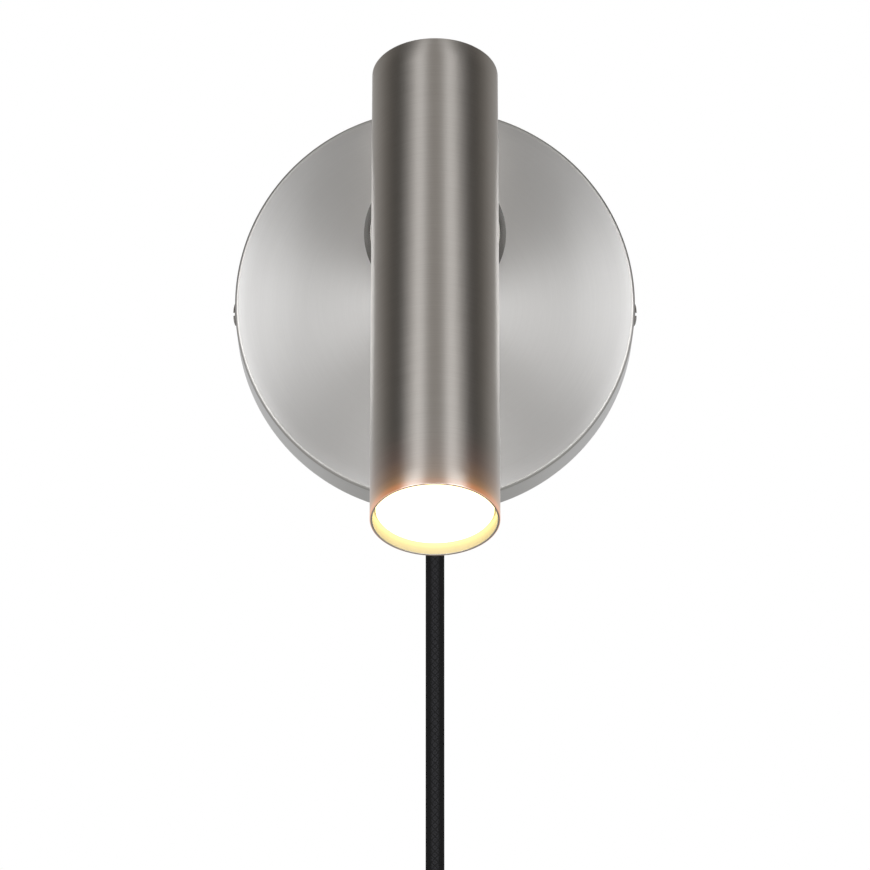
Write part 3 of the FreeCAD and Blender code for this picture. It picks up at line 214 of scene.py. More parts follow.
# Screws with a dull nickel plate: small dark heads with one sharp glint.
screw_nickel = grained("nickel_plated_screws", "6f6b66", "8a857f", 0.24, 0.3, 0.006, metallic=1.0)
# Brass, turned and left bare: yellow, which marks the earth point and the contacts.
plain_brass = grained("plain_brass", "b8934a", "d1ad62", 0.32, 0.4, 0.006, metallic=1.0)
# ABS, injection moulded with a fine grain: near black with a broad dull sheen.
black_abs = grained("black_moulded_abs", "151516", "1d1d1f", 0.42, 0.35, 0.02)
# Polyamide, moulded without dye: milky, with a waxy sheen.
white_polyamide = grained("natural_polyamide", "d9d6cc", "e6e4dc", 0.48, 0.6, 0.015)
# Rubber, moulded: black with almost no gloss.
black_rubber = grained("black_rubber", "121212", "1b1b1b", 0.7, 0.3, 0.02)
# Steatite, pressed and fired without a glaze: chalky off-white.
steatite = grained("fired_steatite", "dcd7cb", "ebe7dd", 0.62, 0.25, 0.02)
# White lacquer on the lamp's die-cast housing: even, with a soft sheen.
lamp_shell = grained("white_lamp_housing", "d4d3d0", "e4e3e0", 0.4, 0.5, 0.01)
# Silicone, extruded over the leads: a soft grey-brown that looks slightly greasy.
lead_silicone = grained("silicone_lead", "8f877c", "b0a89c", 0.55, 0.8, 0.02)
# Grey lacquer sprayed inside the tube: matt, so that it takes the lamp's light without a glare.
tube_lining = grained("grey_lacquer_inside_tube", "86837f", "918e8a", 0.7, 0.5, 0.01)
# The same lacquer at the mouth, with a painted glow that stands for the lamp's light on it. The glow
# comes with the tube.
lining_with_painted_glow = grained("lacquer_with_painted_glow_at_mouth", "86837f", "918e8a", 0.7, 0.5, 0.01)
print("grained finishes:", len(bpy.data.materials))

# %% [markdown]
# ## Brushed and spun nickel
# The tube was brushed round its girth, so its scratches run round it and each reflection is drawn
# out along the tube. The canopy was spun, so its scratches are rings. Both are nickel plate, a warm
# grey. The scratches could be cut in the mesh, but they are far too fine. A noise that is stretched
# round the turn stands for them, and the shader's own anisotropy draws the reflections out. Real
# brushing lines are 0.05 to 0.1 mm apart. They are drawn at about 0.2 mm, so that they show.

# %% Brushed surfaces
CHANGE_ROUND = 1.6          # how much the lines change on the way round a circle of radius 1
LINE_GLOSS_DRIFT = 0.05     # how far the lines move the roughness, as a share of it


def brushed(name, low, high, roughness, lines_per_mm, bump_mm, anisotropy):
    """Plated metal with scratches that run round a turned piece, from its UV map. The share of the
    turn becomes a point on a circle, so the pattern closes without a seam."""
    material, tree, shader = new_material(name, high, 1.0, roughness, {
        "Anisotropic": anisotropy, "Anisotropic Rotation": 0.25})
    tangent = add(tree, "ShaderNodeTangent", {"direction_type": "UV_MAP", "uv_map": UV_MAP})
    tree.links.new(tangent.outputs["Tangent"], shader.inputs["Tangent"])
    place = add(tree, "ShaderNodeUVMap", {"uv_map": UV_MAP}).outputs["UV"]
    split = add(tree, "ShaderNodeSeparateXYZ", inputs={"Vector": place})
    turn = add(tree, "ShaderNodeMath", {"operation": "MULTIPLY"}, {
        0: split.outputs["X"], 1: 2 * math.pi})
    across = add(tree, "ShaderNodeMath", {"operation": "COSINE"}, {0: turn.outputs["Value"]})
    over = add(tree, "ShaderNodeMath", {"operation": "SINE"}, {0: turn.outputs["Value"]})
    on_circle = add(tree, "ShaderNodeCombineXYZ", inputs={
        "X": across.outputs["Value"], "Y": over.outputs["Value"], "Z": split.outputs["Y"]})
    stretch = add(tree, "ShaderNodeMapping", inputs={
        "Vector": on_circle.outputs["Vector"], "Scale": (CHANGE_ROUND, CHANGE_ROUND, lines_per_mm)})
    lines = add(tree, "ShaderNodeTexNoise", inputs={
        "Vector": stretch.outputs["Vector"], "Scale": 1.0, "Detail": 4.0, "Roughness": 0.65})
    contrast = add(tree, "ShaderNodeMapRange", inputs={
        "Value": lines.outputs["Fac"], "From Min": 0.25, "From Max": 0.75})
    shade = add(tree, "ShaderNodeMix", {"data_type": "RGBA"}, {
        "Factor": contrast.outputs["Result"], "A": linear(low), "B": linear(high)})
    tree.links.new(shade.outputs["Result"], shader.inputs["Base Color"])
    rough = add(tree, "ShaderNodeMapRange", inputs={
        "Value": lines.outputs["Fac"], "From Min": 0.3, "From Max": 0.7,
        "To Min": roughness * (1 - LINE_GLOSS_DRIFT), "To Max": roughness * (1 + LINE_GLOSS_DRIFT)})
    tree.links.new(rough.outputs["Result"], shader.inputs["Roughness"])
    bump = add(tree, "ShaderNodeBump", inputs={
        "Strength": 0.2, "Distance": bump_mm * MM, "Height": lines.outputs["Fac"]})
    tree.links.new(bump.outputs["Normal"], shader.inputs["Normal"])
    return material


# Nickel plate on the tube, brushed round it: long soft streaks of light that run along the tube.
# Near the mouth it also gets a painted glow, further down.
tube_nickel = brushed("nickel_plate_brushed_round", "beb9b4", "cbc7c2", 0.30, 5.0, 0.006, 0.75)
# Nickel plate on the spun canopy: fans of light that meet at the middle of its face.
canopy_nickel = brushed("nickel_plate_spun", "c5c5c5", "cacaca", 0.34, 4.0, 0.0015, 0.7)
# The same plate on the canopy's rolled edge, which is duller: a thin pale line and not a white one.
rolled_edge = brushed("nickel_plate_rolled_edge", "b4b3b1", "bcbbb9", 0.44, 4.0, 0.0015, 0.2)
# Black nickel plate on the turned rosette: a dark disc that sets the bright tube off.
rosette_nickel = brushed("black_nickel_plate_turned", "74726f", "7f7d7a", 0.26, 6.0, 0.002, 0.6)
# Nickel plate on the pressed cap, turned smooth: fine rings round its slots.
cap_nickel = brushed("nickel_plate_turned_cap", "beb9b4", "cbc7c2", 0.30, 5.0, 0.003, 0.6)
print("finishes so far:", len(bpy.data.materials))

# %% [markdown]
# ## Pieces from Geometry Nodes
# Screws, heat slots and finger ribs repeat. They could be copied by hand in code, but a node tree
# makes one and sets it on every point, and its sizes are named inputs, so they can be changed in one
# place or in Blender's own panel. The result is kept as a plain mesh, because copies that live only
# in a modifier are lost when the model is exported.


# %% Geometry Nodes helpers
def node_tree(name, sizes):
    """A tree with geometry in and out and a named input for each size. Gives the tree and its
    inputs."""
    tree = bpy.data.node_groups.new(name, "GeometryNodeTree")
    tree.interface.new_socket("Geometry", in_out="INPUT", socket_type="NodeSocketGeometry")
    for label, value in sizes.items():
        kind = "NodeSocketInt" if isinstance(value, int) else "NodeSocketFloat"
        tree.interface.new_socket(label, in_out="INPUT", socket_type=kind).default_value = value
    tree.interface.new_socket("Geometry", in_out="OUTPUT", socket_type="NodeSocketGeometry")
    return tree, tree.nodes.new("NodeGroupInput").outputs


def end_tree(tree, geometry, material):
    """Ends a tree with real meshes and their material."""
    real = add(tree, "GeometryNodeRealizeInstances", inputs={"Geometry": geometry})
    done = add(tree, "GeometryNodeSetMaterial", inputs={
        "Geometry": real.outputs["Geometry"], "Material": material})
    add(tree, "NodeGroupOutput", inputs={"Geometry": done.outputs["Geometry"]})


def grow(piece, tree, sizes):
    """Runs a tree on a piece with the given sizes, and keeps the result as its mesh."""
    growth = piece.modifiers.new("growth", "NODES")
    growth.node_group = tree
    for item in tree.interface.items_tree:
        if item.in_out == "INPUT" and item.name in sizes:
            growth[item.identifier] = sizes[item.name]
    mesh = evaluated_mesh(piece)
    piece.modifiers.clear()
    piece.data = mesh
    print(f"{tree.name}: {len(mesh.polygons)} faces on {piece.name}")


def points_mesh(name, places, **attributes):
    """Loose points, with a vector or a number stored on each."""
    mesh = bpy.data.meshes.new(name)
    mesh.from_pydata(places, [], [])
    for key, values in attributes.items():
        vector = isinstance(values[0], Vector)
        store = mesh.attributes.new(key, "FLOAT_VECTOR" if vector else "FLOAT", "POINT")
        for slot, value in zip(store.data, values):
            setattr(slot, "vector" if vector else "value", value)
    return mesh


# %% [markdown]
# ## Copies of the frame's pieces
# Most pieces have their real shape in the frame already. Their meshes are loose triangles, which
# would shade as flat facets. A copy is merged, so that curved faces shade as curves and edges stay
# crisp, and the copy stands for the piece. The frame's own mesh is left as it is.

# %% Finished copies
SAME_POINT, NO_LENGTH = 2e-6, 1e-7


def finished(node, body, material, degrees=28.0):
    """A merged and smoothed copy of a piece of the frame, which stands for it."""
    mesh = nodes[node].data.copy()
    shape = bmesh.new()
    shape.from_mesh(mesh)
    bmesh.ops.remove_doubles(shape, verts=shape.verts, dist=SAME_POINT)
    bmesh.ops.dissolve_degenerate(shape, dist=NO_LENGTH, edges=shape.edges)
    shape.to_mesh(mesh)
    shape.free()
    mesh.materials.clear()
    mesh.materials.append(material)
    smooth(mesh, degrees)
    piece = new_object(node + "_finished", mesh)
    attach(piece, body)
    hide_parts(node)
    return piece


# %% [markdown]
# ## Finger ribs on the plug
# A moulded plug has ribs for the fingers on both flats. They could be a bump in the material, but
# then they would be missing from the mesh. A tree lays a row of thin rods along a line, half sunk in
# the flat, and sets a copy of the row on each point it is given.

# %% Finger ribs
PLUG_AXIS_Y, PLUG_FLAT_X, FIRST_RIB_Z = -0.0255, 0.0132, -0.4780
rib_sizes = {"Count": 5, "Pitch": 0.0025, "Rib Length": 0.0105, "Rib Radius": 0.0006}
ribs, size = node_tree("row_of_finger_ribs", rib_sizes)
step = add(ribs, "ShaderNodeMath", {"operation": "MULTIPLY"}, {0: size["Pitch"], 1: -1.0})
step = add(ribs, "ShaderNodeCombineXYZ", inputs={"Z": step.outputs["Value"]})
line = add(ribs, "GeometryNodeMeshLine", inputs={
    "Count": size["Count"], "Offset": step.outputs["Vector"]})
rod = add(ribs, "GeometryNodeMeshCylinder", inputs={
    "Vertices": 16, "Radius": size["Rib Radius"], "Depth": size["Rib Length"]})
rod = add(ribs, "GeometryNodeTransform", inputs={
    "Geometry": rod.outputs["Mesh"], "Rotation": (math.pi / 2, 0, 0)})
row = add(ribs, "GeometryNodeInstanceOnPoints", inputs={
    "Points": line.outputs["Mesh"], "Instance": rod.outputs["Geometry"]})
row = add(ribs, "GeometryNodeRealizeInstances", inputs={"Geometry": row.outputs["Instances"]})
rows = add(ribs, "GeometryNodeInstanceOnPoints", inputs={
    "Points": size["Geometry"], "Instance": row.outputs["Geometry"]})
end_tree(ribs, rows.outputs["Instances"], black_abs)

row_starts = [(side * PLUG_FLAT_X, PLUG_AXIS_Y, FIRST_RIB_Z) for side in (-1, 1)]
plug_ribs = new_object("plug_finger_ribs", points_mesh("plug_finger_ribs", row_starts))
grow(plug_ribs, ribs, rib_sizes)
smooth(plug_ribs.data)
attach(plug_ribs, "root")

# %% [markdown]
# ## The textile cord
# The lead is 8.4 mm thick over its braid and 2.1 m long. What the photograph shows hangs taut and
# plumb. The rest is stored below the view: an in-line switch, a coil of six turns in two layers that
# hangs from the lead, and the plug. A simulation could drop the cord, but nobody could say where it
# ends up, and a stored cord is wound on purpose. So its route is given as points: the straight runs
# one by one, and the coil's turns by a rule.

# %% Cord route
CORD_DIAMETER = 0.0084
CORD_Y = -0.0165
CORD_TOP = -0.078
DOWN_TO_COIL = [-0.100, -0.140, -0.190, -0.240, -0.280, -0.313, -0.340, -0.358]
COIL_RADIUS, COIL_Z, COIL_TURNS = 0.060, -0.372, 6
COIL_STEP = 0.009           # from one turn to the next, inwards and from layer to layer
COIL_DIP = 0.0016           # the turn that climbs to the front layer goes a little inside the others
PAST_COIL = [-0.386, -0.410, -0.436]
PLUG_TOP, PLUG_SOCKET = -0.448, 0.018
POINTS_PER_TURN = 24
# The smooth curve cuts the corners of the points, and keeps this share of their radius.
CUT_CORNER = (6 + 2 * math.cos(2 * math.pi / POINTS_PER_TURN)) / 8


def coil_point(turn):
    """The stored cord: in at a steady rate, half a turn that climbs to the front layer, and out."""
    inward = (COIL_TURNS - 0.5) / 2
    angle = math.pi + 2 * math.pi * turn
    climb = min(max((turn - inward) * 2, 0.0), 1.0)
    rise = (1 - math.cos(math.pi * climb)) / 2
    radius = COIL_RADIUS - COIL_STEP * min(turn, inward, COIL_TURNS - turn)
    radius = (radius - COIL_DIP * math.sin(math.pi * climb)) / CUT_CORNER
    return Vector((COIL_RADIUS + radius * math.cos(angle), CORD_Y - COIL_STEP * rise,
                   COIL_Z + radius * math.sin(angle)))


coil_turns = [(k + 0.5) / POINTS_PER_TURN for k in range(COIL_TURNS * POINTS_PER_TURN)]
route = [Vector((0.0, CORD_Y, z)) for z in [CORD_TOP] + DOWN_TO_COIL]
route += [coil_point(turn) for turn in coil_turns]
route += [Vector((0.0, CORD_Y - COIL_STEP, z)) for z in PAST_COIL + [PLUG_TOP - PLUG_SOCKET]]
print("points of the route:", len(route))

# %% [markdown]
# A spline through the points gives one smooth line. A NURBS of order 3 is used because it follows
# the coil's points without a wobble between them. Its own points crowd together in the bends, so
# they are spaced evenly before they carry rings, which keeps the braid's squares square.

# %% Cord line
RING_STEP = 0.002
curve = bpy.data.curves.new("cord_route", "CURVE")
curve.dimensions = "3D"
curve.resolution_u = 3
spline = curve.splines.new("NURBS")
spline.points.add(len(route) - 1)
for point, place in zip(spline.points, route):
    point.co = (*place, 1.0)
spline.order_u = 3
spline.use_endpoint_u = True
guide = new_object("cord_route", curve)
line_mesh = evaluated_mesh(guide)
cord_line = [vertex.co.copy() for vertex in line_mesh.vertices]
bpy.data.objects.remove(guide)
bpy.data.meshes.remove(line_mesh)


def even_line(points, step):
    """The same line with points a step apart."""
    spaced, carry = [points[0]], 0.0
    for here, there in zip(points, points[1:]):
        gap = (there - here).length
        while carry + gap >= step:
            here = here.lerp(there, (step - carry) / gap)
            gap = (there - here).length
            carry = 0.0
            spaced.append(here.copy())
        carry += gap
    return spaced + [points[-1]]


cord_line = even_line(cord_line, RING_STEP)
print("rings along the cord:", len(cord_line))

# %% [markdown]
# A curve's own bevel could thicken the line, but its UV map doesn't know millimetres. So circles
# are set along the line, each turned as little as can be from the one before, and skinned.


# %% Cord tube
def line_tube(name, points, radius, sides):
    """A closed tube whose rings follow a line without twisting. Gives it and its length."""
    rings, along = [], []
    side = Vector((1, 0, 0))
    for k, point in enumerate(points):
        ahead = (points[min(k + 1, len(points) - 1)] - points[max(k - 1, 0)]).normalized()
        side = (side - ahead * side.dot(ahead)).normalized()
        along.append(along[-1] + (point - points[k - 1]).length if k else 0.0)
        rings.append(circle(point, side, ahead.cross(side), radius, sides))
    mesh = mesh_from_rings(name, rings, along)
    shape = bmesh.new()
    shape.from_mesh(mesh)
    bmesh.ops.holes_fill(shape, edges=[edge for edge in shape.edges if edge.is_boundary])
    bmesh.ops.recalc_face_normals(shape, faces=shape.faces)
    shape.to_mesh(mesh)
    shape.free()
    smooth(mesh, 60.0)
    return new_object(name, mesh), along[-1]


cord, cord_length = line_tube("textile_lead", cord_line, CORD_DIAMETER / 2, 32)
print(f"cord: {cord_length:.3f} m, {len(cord.data.polygons)} faces")

# %% [markdown]
# ### The braid
# The braid has 16 strands each way, which cross at about 45 degrees. Modelled strands would be tens
# of thousands of faces for a pattern of 1.6 mm, so it is worked out from the UV map. Each set of
# strands is a row of half waves that run at a slant, and a chequer says which set is on top.


# %% Braid pattern
def half_waves(tree, count):
    """A sine that makes half a wave for each whole step of a count."""
    angle = add(tree, "ShaderNodeMath", {"operation": "MULTIPLY"}, {0: count, 1: math.pi})
    wave = add(tree, "ShaderNodeMath", {"operation": "SINE"}, {0: angle.outputs["Value"]})
    return wave.outputs["Value"]


def braid_height(tree, girth_mm, strands):
    """How high the braid stands at each point: two sets of strands that take turns on top."""
    place = add(tree, "ShaderNodeUVMap", {"uv_map": UV_MAP}).outputs["UV"]
    split = add(tree, "ShaderNodeSeparateXYZ", inputs={"Vector": place})
    around, down = [
        add(tree, "ShaderNodeMath", {"operation": "MULTIPLY"}, {0: way, 1: count}).outputs["Value"]
        for way, count in ((split.outputs["X"], float(strands)),
                           (split.outputs["Y"], strands / girth_mm))]
    sets = []
    for slant in ("ADD", "SUBTRACT"):
        strand = add(tree, "ShaderNodeMath", {"operation": slant}, {0: around, 1: down})
        wave = half_waves(tree, strand.outputs["Value"])
        sets.append(add(tree, "ShaderNodeMath", {"operation": "ABSOLUTE"}, {0: wave}))
    chequer = add(tree, "ShaderNodeMath", {"operation": "MULTIPLY"}, {
        0: half_waves(tree, around), 1: half_waves(tree, down)})
    on_top = add(tree, "ShaderNodeMath", {"operation": "GREATER_THAN"}, {
        0: chequer.outputs["Value"], 1: 0.0})
    height = add(tree, "ShaderNodeMix", {"data_type": "FLOAT"}, {
        "Factor": on_top.outputs["Value"],
        "A": sets[0].outputs["Value"], "B": sets[1].outputs["Value"]})
    return height.outputs["Result"]


# %% [markdown]
# The strands are dyed cotton and polyester yarn, braided tight. Yarn scatters light, so the braid is
# matt. Towards its edges, where it turns away from the eye, its colour is darkened: painted shade.
# The fibres are 0.02 mm thick, and their tufts are drawn at about 0.4 mm, so that they show.

# %% Braid finish
TUFTS_PER_METRE = 2600.0
BRAID_STRANDS, BRAID_RELIEF_MM = 16, 0.25


def braid_material(name, dark, light, girth_mm, strands):
    """Matt braided yarn for a cord of the given girth, with painted shade in the braid's hollows and
    at its edges.
    """
    material, tree, shader = new_material(name, light, 0.0, 0.85, {"Specular IOR Level": 0.2})
    place = add(tree, "ShaderNodeTexCoord").outputs["Object"]
    fuzz = add(tree, "ShaderNodeTexNoise", inputs={
        "Vector": place, "Scale": TUFTS_PER_METRE, "Detail": 2.0})
    relief = add(tree, "ShaderNodeMath", {"operation": "MULTIPLY_ADD"}, {
        0: fuzz.outputs["Fac"], 1: 0.5, 2: braid_height(tree, girth_mm, strands)})
    # Painted shade: the braid's low parts, between the strands, are darker; the tufts add a random
    # tone.
    depth = add(tree, "ShaderNodeMapRange", inputs={
        "Value": relief.outputs["Value"], "From Min": 0.2, "From Max": 1.4})
    yarn = add(tree, "ShaderNodeMix", {"data_type": "RGBA"}, {
        "Factor": depth.outputs["Result"], "A": linear(dark), "B": linear(light)})
    # Painted shade: towards the edges, where the surface turns away from the eye, the colour goes to
    # the dark yarn.
    facing = add(tree, "ShaderNodeLayerWeight", inputs={"Blend": 0.5}).outputs["Facing"]
    turned = add(tree, "ShaderNodeMapRange", {"interpolation_type": "SMOOTHSTEP"}, {
        "Value": facing, "From Min": 0.02, "From Max": 0.16, "To Min": 0.0, "To Max": 1.0})
    matt = add(tree, "ShaderNodeMix", {"data_type": "RGBA"}, {
        "Factor": turned.outputs["Result"], "A": yarn.outputs["Result"], "B": linear(dark)})
    tree.links.new(matt.outputs["Result"], shader.inputs["Base Color"])
    bump = add(tree, "ShaderNodeBump", inputs={
        "Strength": 0.8, "Distance": BRAID_RELIEF_MM * MM, "Height": relief.outputs["Value"]})
    tree.links.new(bump.outputs["Normal"], shader.inputs["Normal"])
    return material


cord_girth_mm = CORD_DIAMETER / MM * math.pi
textile = braid_material("black_textile_braid", "101011", "2b2b2e", cord_girth_mm, BRAID_STRANDS)
cord.data.materials.append(textile)
print(f"a strand is {cord_girth_mm / BRAID_STRANDS:.2f} mm wide")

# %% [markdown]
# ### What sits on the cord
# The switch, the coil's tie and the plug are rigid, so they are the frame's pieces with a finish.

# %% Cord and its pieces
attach(cord, "root")
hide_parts("cord_run", "cord_coil")
on_cord_finishes = {
    "coil_tie": black_rubber, "switch_front": black_abs, "switch_back": black_abs,
    "switch_screws": screw_nickel, "switch_contacts": plain_brass, "plug_body": black_abs,
    "plug_relief": black_abs, "plug_pins": polished_nickel,
}
on_cord = [finished(node, "root", material) for node, material in on_cord_finishes.items()]
on_cord.append(plug_ribs)
print("pieces on the cord:", len(on_cord))

# %% [markdown]
# ## The turned shells
# The canopy, rosette, tube and cap are thin shells of revolution. In the frame they are made of flat
# facets, which show in a mirror finish. So each is turned again here from its own section, as on a
# lathe: a closed outline of (radius, height) points is carried round an axis in many fine steps. The
# small radii at the edges are part of the outline, because real edges catch the light there.


# %% Lathe
def arc(centre, radius, start, end, steps=6):
    """Points of an arc in an outline, from one angle to another in degrees."""
    angles = [math.radians(start + (end - start) * k / steps) for k in range(steps + 1)]
    return [(centre[0] + radius * math.cos(a), centre[1] + radius * math.sin(a)) for a in angles]


def run_along(points):
    """How far along a line of points each of them is."""
    places = [0.0]
    for here, there in zip(points, points[1:]):
        places.append(places[-1] + math.dist(here, there))
    return places


def lathe(name, profile, origin, axis, steps):
    """Turns a closed (radius, height) outline, in metres, about an axis."""
    axis = axis.normalized()
    side = Vector((1, 0, 0))
    across = axis.cross(side).normalized()
    loop = profile + profile[:1]
    rings = [circle(origin + axis * height, side, across, radius, steps) for radius, height in loop]
    mesh = mesh_from_rings(name, rings, run_along(loop))
    shape = bmesh.new()
    shape.from_mesh(mesh)
    bmesh.ops.remove_doubles(shape, verts=shape.verts, dist=NO_LENGTH)
    bmesh.ops.dissolve_degenerate(shape, dist=NO_LENGTH, edges=shape.edges)
    # An outline that ends on the axis leaves a bare edge there, and a bare edge spoils a boolean.
    bare = [edge for edge in shape.edges if edge.is_wire]
    bmesh.ops.delete(shape, geom=bare, context="EDGES")
    bmesh.ops.recalc_face_normals(shape, faces=shape.faces)
    shape.to_mesh(mesh)
    shape.free()
    smooth(mesh)
    print(f"{name}: {len(mesh.polygons)} faces")
    return new_object(name, mesh)


# %% [markdown]
# Screws, the arm's stem and the cord pass through these shells, away from the axis that they are
# turned about, so the outline can't hold their holes. Drilling is what the maker does too: a round
# cutter with many sides is set at each hole, and a boolean takes it out of the shell.

# %% Drilled holes
HOLE_FACETS = 48


def drilled(piece, holes):
    """Cuts round holes, each (middle, direction, radius, length), through a piece."""
    for middle, direction, radius, length in holes:
        mesh = bpy.data.meshes.new("drill")
        shape = bmesh.new()
        bmesh.ops.create_cone(shape, cap_ends=True, segments=HOLE_FACETS,
                              radius1=radius, radius2=radius, depth=length)
        turn = Vector((0, 0, 1)).rotation_difference(direction).to_matrix().to_4x4()
        bmesh.ops.transform(shape, matrix=Matrix.Translation(middle) @ turn, verts=shape.verts)
        shape.to_mesh(mesh)
        shape.free()
        drill = new_object("drill", mesh)
        cut = piece.modifiers.new("cut", "BOOLEAN")
        cut.operation, cut.solver, cut.object = "DIFFERENCE", "EXACT", drill
        done = evaluated_mesh(piece)
        piece.modifiers.clear()
        piece.data = done
        bpy.data.objects.remove(drill)
    smooth(piece.data)
    print(f"{piece.name}: {len(holes)} holes")


# %% [markdown]
# ### The canopy
# The canopy is a cup, pressed and spun from thin steel sheet and nickel-plated, and open to the
# wall. Its rim has a hole on each side for a screw and one below for the cord, and its face one for
# the arm. Extra rings on the side and the face keep the faces small, so that the direction of the
# spun lines stays true. The rolled edge has a finish of its own.

# %% Canopy
OUT = Vector((0, -1, 0))
WALL_CENTRE = Vector((0, 0, 0))
SWIVEL = Vector((0, 0, 0.032))
CANOPY_R, CANOPY_DEPTH, CANOPY_WALL, CANOPY_EDGE = 0.090, 0.033, 0.0012, 0.0016
RIM_SCREW_Y = -0.009
SCREW_HOLE_R, STEM_HOLE_R, GLAND_HOLE_R, DRILL_LENGTH = 0.0023, 0.00506, 0.00656, 0.02
TENTH = 0.1 * MM
SIDE_ROWS, FACE_RINGS = 6, 12

inner_r, inner_depth = CANOPY_R - CANOPY_WALL, CANOPY_DEPTH - CANOPY_WALL
corner = (CANOPY_R - CANOPY_EDGE, CANOPY_DEPTH - CANOPY_EDGE)
canopy_profile = (
    [(inner_r, 2 * TENTH), (inner_r + 2 * TENTH, 0.0)]
    + [(CANOPY_R - 2 * TENTH, 0.0), (CANOPY_R, 2 * TENTH)]
    + [(CANOPY_R, CANOPY_DEPTH * k / SIDE_ROWS) for k in range(1, SIDE_ROWS)]
    + arc(corner, CANOPY_EDGE, 0, 90, 8)
    + [(CANOPY_R * k / FACE_RINGS, CANOPY_DEPTH) for k in range(FACE_RINGS - 1, 0, -1)]
    + [(0.0, CANOPY_DEPTH), (0.0, inner_depth)]
    + [(CANOPY_R * k / FACE_RINGS, inner_depth) for k in range(1, FACE_RINGS)]
    + arc(corner, CANOPY_EDGE - CANOPY_WALL, 90, 0, 3)
)
canopy = lathe("canopy_shell", canopy_profile, WALL_CENTRE, OUT, steps=288)
drilled(canopy, [
    (Vector((-CANOPY_R, RIM_SCREW_Y, 0)), Vector((1, 0, 0)), SCREW_HOLE_R, DRILL_LENGTH),
    (Vector((CANOPY_R, RIM_SCREW_Y, 0)), Vector((1, 0, 0)), SCREW_HOLE_R, DRILL_LENGTH),
    (SWIVEL + OUT * CANOPY_DEPTH, OUT, STEM_HOLE_R, DRILL_LENGTH),
    (Vector((0, CORD_Y, -CANOPY_R)), Vector((0, 0, 1)), GLAND_HOLE_R, DRILL_LENGTH),
])

# %% Canopy's finishes
canopy.data.materials.append(canopy_nickel)
canopy.data.materials.append(rolled_edge)
for polygon in canopy.data.polygons:
    middle = polygon.center
    beyond_side = math.hypot(middle.x, middle.z) > CANOPY_R - CANOPY_EDGE
    if beyond_side and middle.dot(OUT) > CANOPY_DEPTH - CANOPY_EDGE:
        polygon.material_index = 1
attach(canopy, "root")
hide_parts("canopy")
on_edge = sum(polygon.material_index for polygon in canopy.data.polygons)
print("faces on the canopy's rolled edge:", on_edge)

# %% [markdown]
# ### The rim's screws
# Two slotted dome screws hold the canopy's rim, left and right. A half ball and a cut slot could be
# modelled twice, but a tree makes one and serves any number. It works in unit sizes, where the head
# is a ball of radius 1: a block takes the lower half off, a narrow one cuts the slot, and then the
# head is scaled to its real radius and height.

# %% A slotted screw
screw_sizes = {"Head Radius": 0.00535, "Head Height": 0.0014, "Slot Width": 0.0014,
               "Shank Radius": 0.002, "Shank Length": 0.009}
screws, size = node_tree("slotted_screws", screw_sizes)
dome = add(screws, "GeometryNodeMeshUVSphere", inputs={"Segments": 48, "Rings": 32, "Radius": 1.0})
below = add(screws, "GeometryNodeMeshCube", inputs={"Size": (3, 3, 2)})
below = add(screws, "GeometryNodeTransform", inputs={
    "Geometry": below.outputs["Mesh"], "Translation": (0, 0, -1)})
share = add(screws, "ShaderNodeMath", {"operation": "DIVIDE"}, {
    0: size["Slot Width"], 1: size["Head Radius"]})
groove_size = add(screws, "ShaderNodeCombineXYZ", inputs={
    "X": share.outputs["Value"], "Y": 3.0, "Z": 1.2})
groove = add(screws, "GeometryNodeMeshCube", inputs={"Size": groove_size.outputs["Vector"]})
groove = add(screws, "GeometryNodeTransform", inputs={
    "Geometry": groove.outputs["Mesh"], "Translation": (0, 0, 1)})
head = add(screws, "GeometryNodeMeshBoolean", {"operation": "DIFFERENCE", "solver": "EXACT"}, {
    "Mesh 1": dome.outputs["Mesh"]})
for cutter in (below, groove):
    screws.links.new(cutter.outputs["Geometry"], head.inputs["Mesh 2"])
head_size = add(screws, "ShaderNodeCombineXYZ", inputs={
    "X": size["Head Radius"], "Y": size["Head Radius"], "Z": size["Head Height"]})
head = add(screws, "GeometryNodeTransform", inputs={
    "Geometry": head.outputs["Mesh"], "Scale": head_size.outputs["Vector"]})
shank = add(screws, "GeometryNodeMeshCylinder", inputs={
    "Vertices": 32, "Radius": size["Shank Radius"], "Depth": size["Shank Length"]})
down = add(screws, "ShaderNodeMath", {"operation": "MULTIPLY"}, {0: size["Shank Length"], 1: -0.5})
down = add(screws, "ShaderNodeCombineXYZ", inputs={"Z": down.outputs["Value"]})
shank = add(screws, "GeometryNodeTransform", inputs={
    "Geometry": shank.outputs["Mesh"], "Translation": down.outputs["Vector"]})
screw = add(screws, "GeometryNodeJoinGeometry")
for part in (head, shank):
    screws.links.new(part.outputs["Geometry"], screw.inputs["Geometry"])
print("nodes for one screw:", len(screws.nodes))

# %% [markdown]
# Each screw stands on a point. The point stores which way is outward and how far the slot is turned,
# because nobody stops two screws at the same angle. The tree reads both from the point.

# %% Rim screws
outward = add(screws, "GeometryNodeInputNamedAttribute", {"data_type": "FLOAT_VECTOR"}, {
    "Name": "outward"})
aligned = add(screws, "FunctionNodeAlignRotationToVector", {"axis": "Z"}, {
    "Vector": outward.outputs["Attribute"]})
slot_turn = add(screws, "GeometryNodeInputNamedAttribute", {"data_type": "FLOAT"}, {
    "Name": "slot_turn"})
slot_turn = add(screws, "ShaderNodeCombineXYZ", inputs={"Z": slot_turn.outputs["Attribute"]})
slot_turn = add(screws, "FunctionNodeEulerToRotation", inputs={"Euler": slot_turn.outputs["Vector"]})
facing = add(screws, "FunctionNodeRotateRotation", {"rotation_space": "LOCAL"}, {
    "Rotation": aligned.outputs["Rotation"], "Rotate By": slot_turn.outputs["Rotation"]})
placed = add(screws, "GeometryNodeInstanceOnPoints", inputs={
    "Points": size["Geometry"], "Instance": screw.outputs["Geometry"],
    "Rotation": facing.outputs["Rotation"]})
end_tree(screws, placed.outputs["Instances"], screw_nickel)

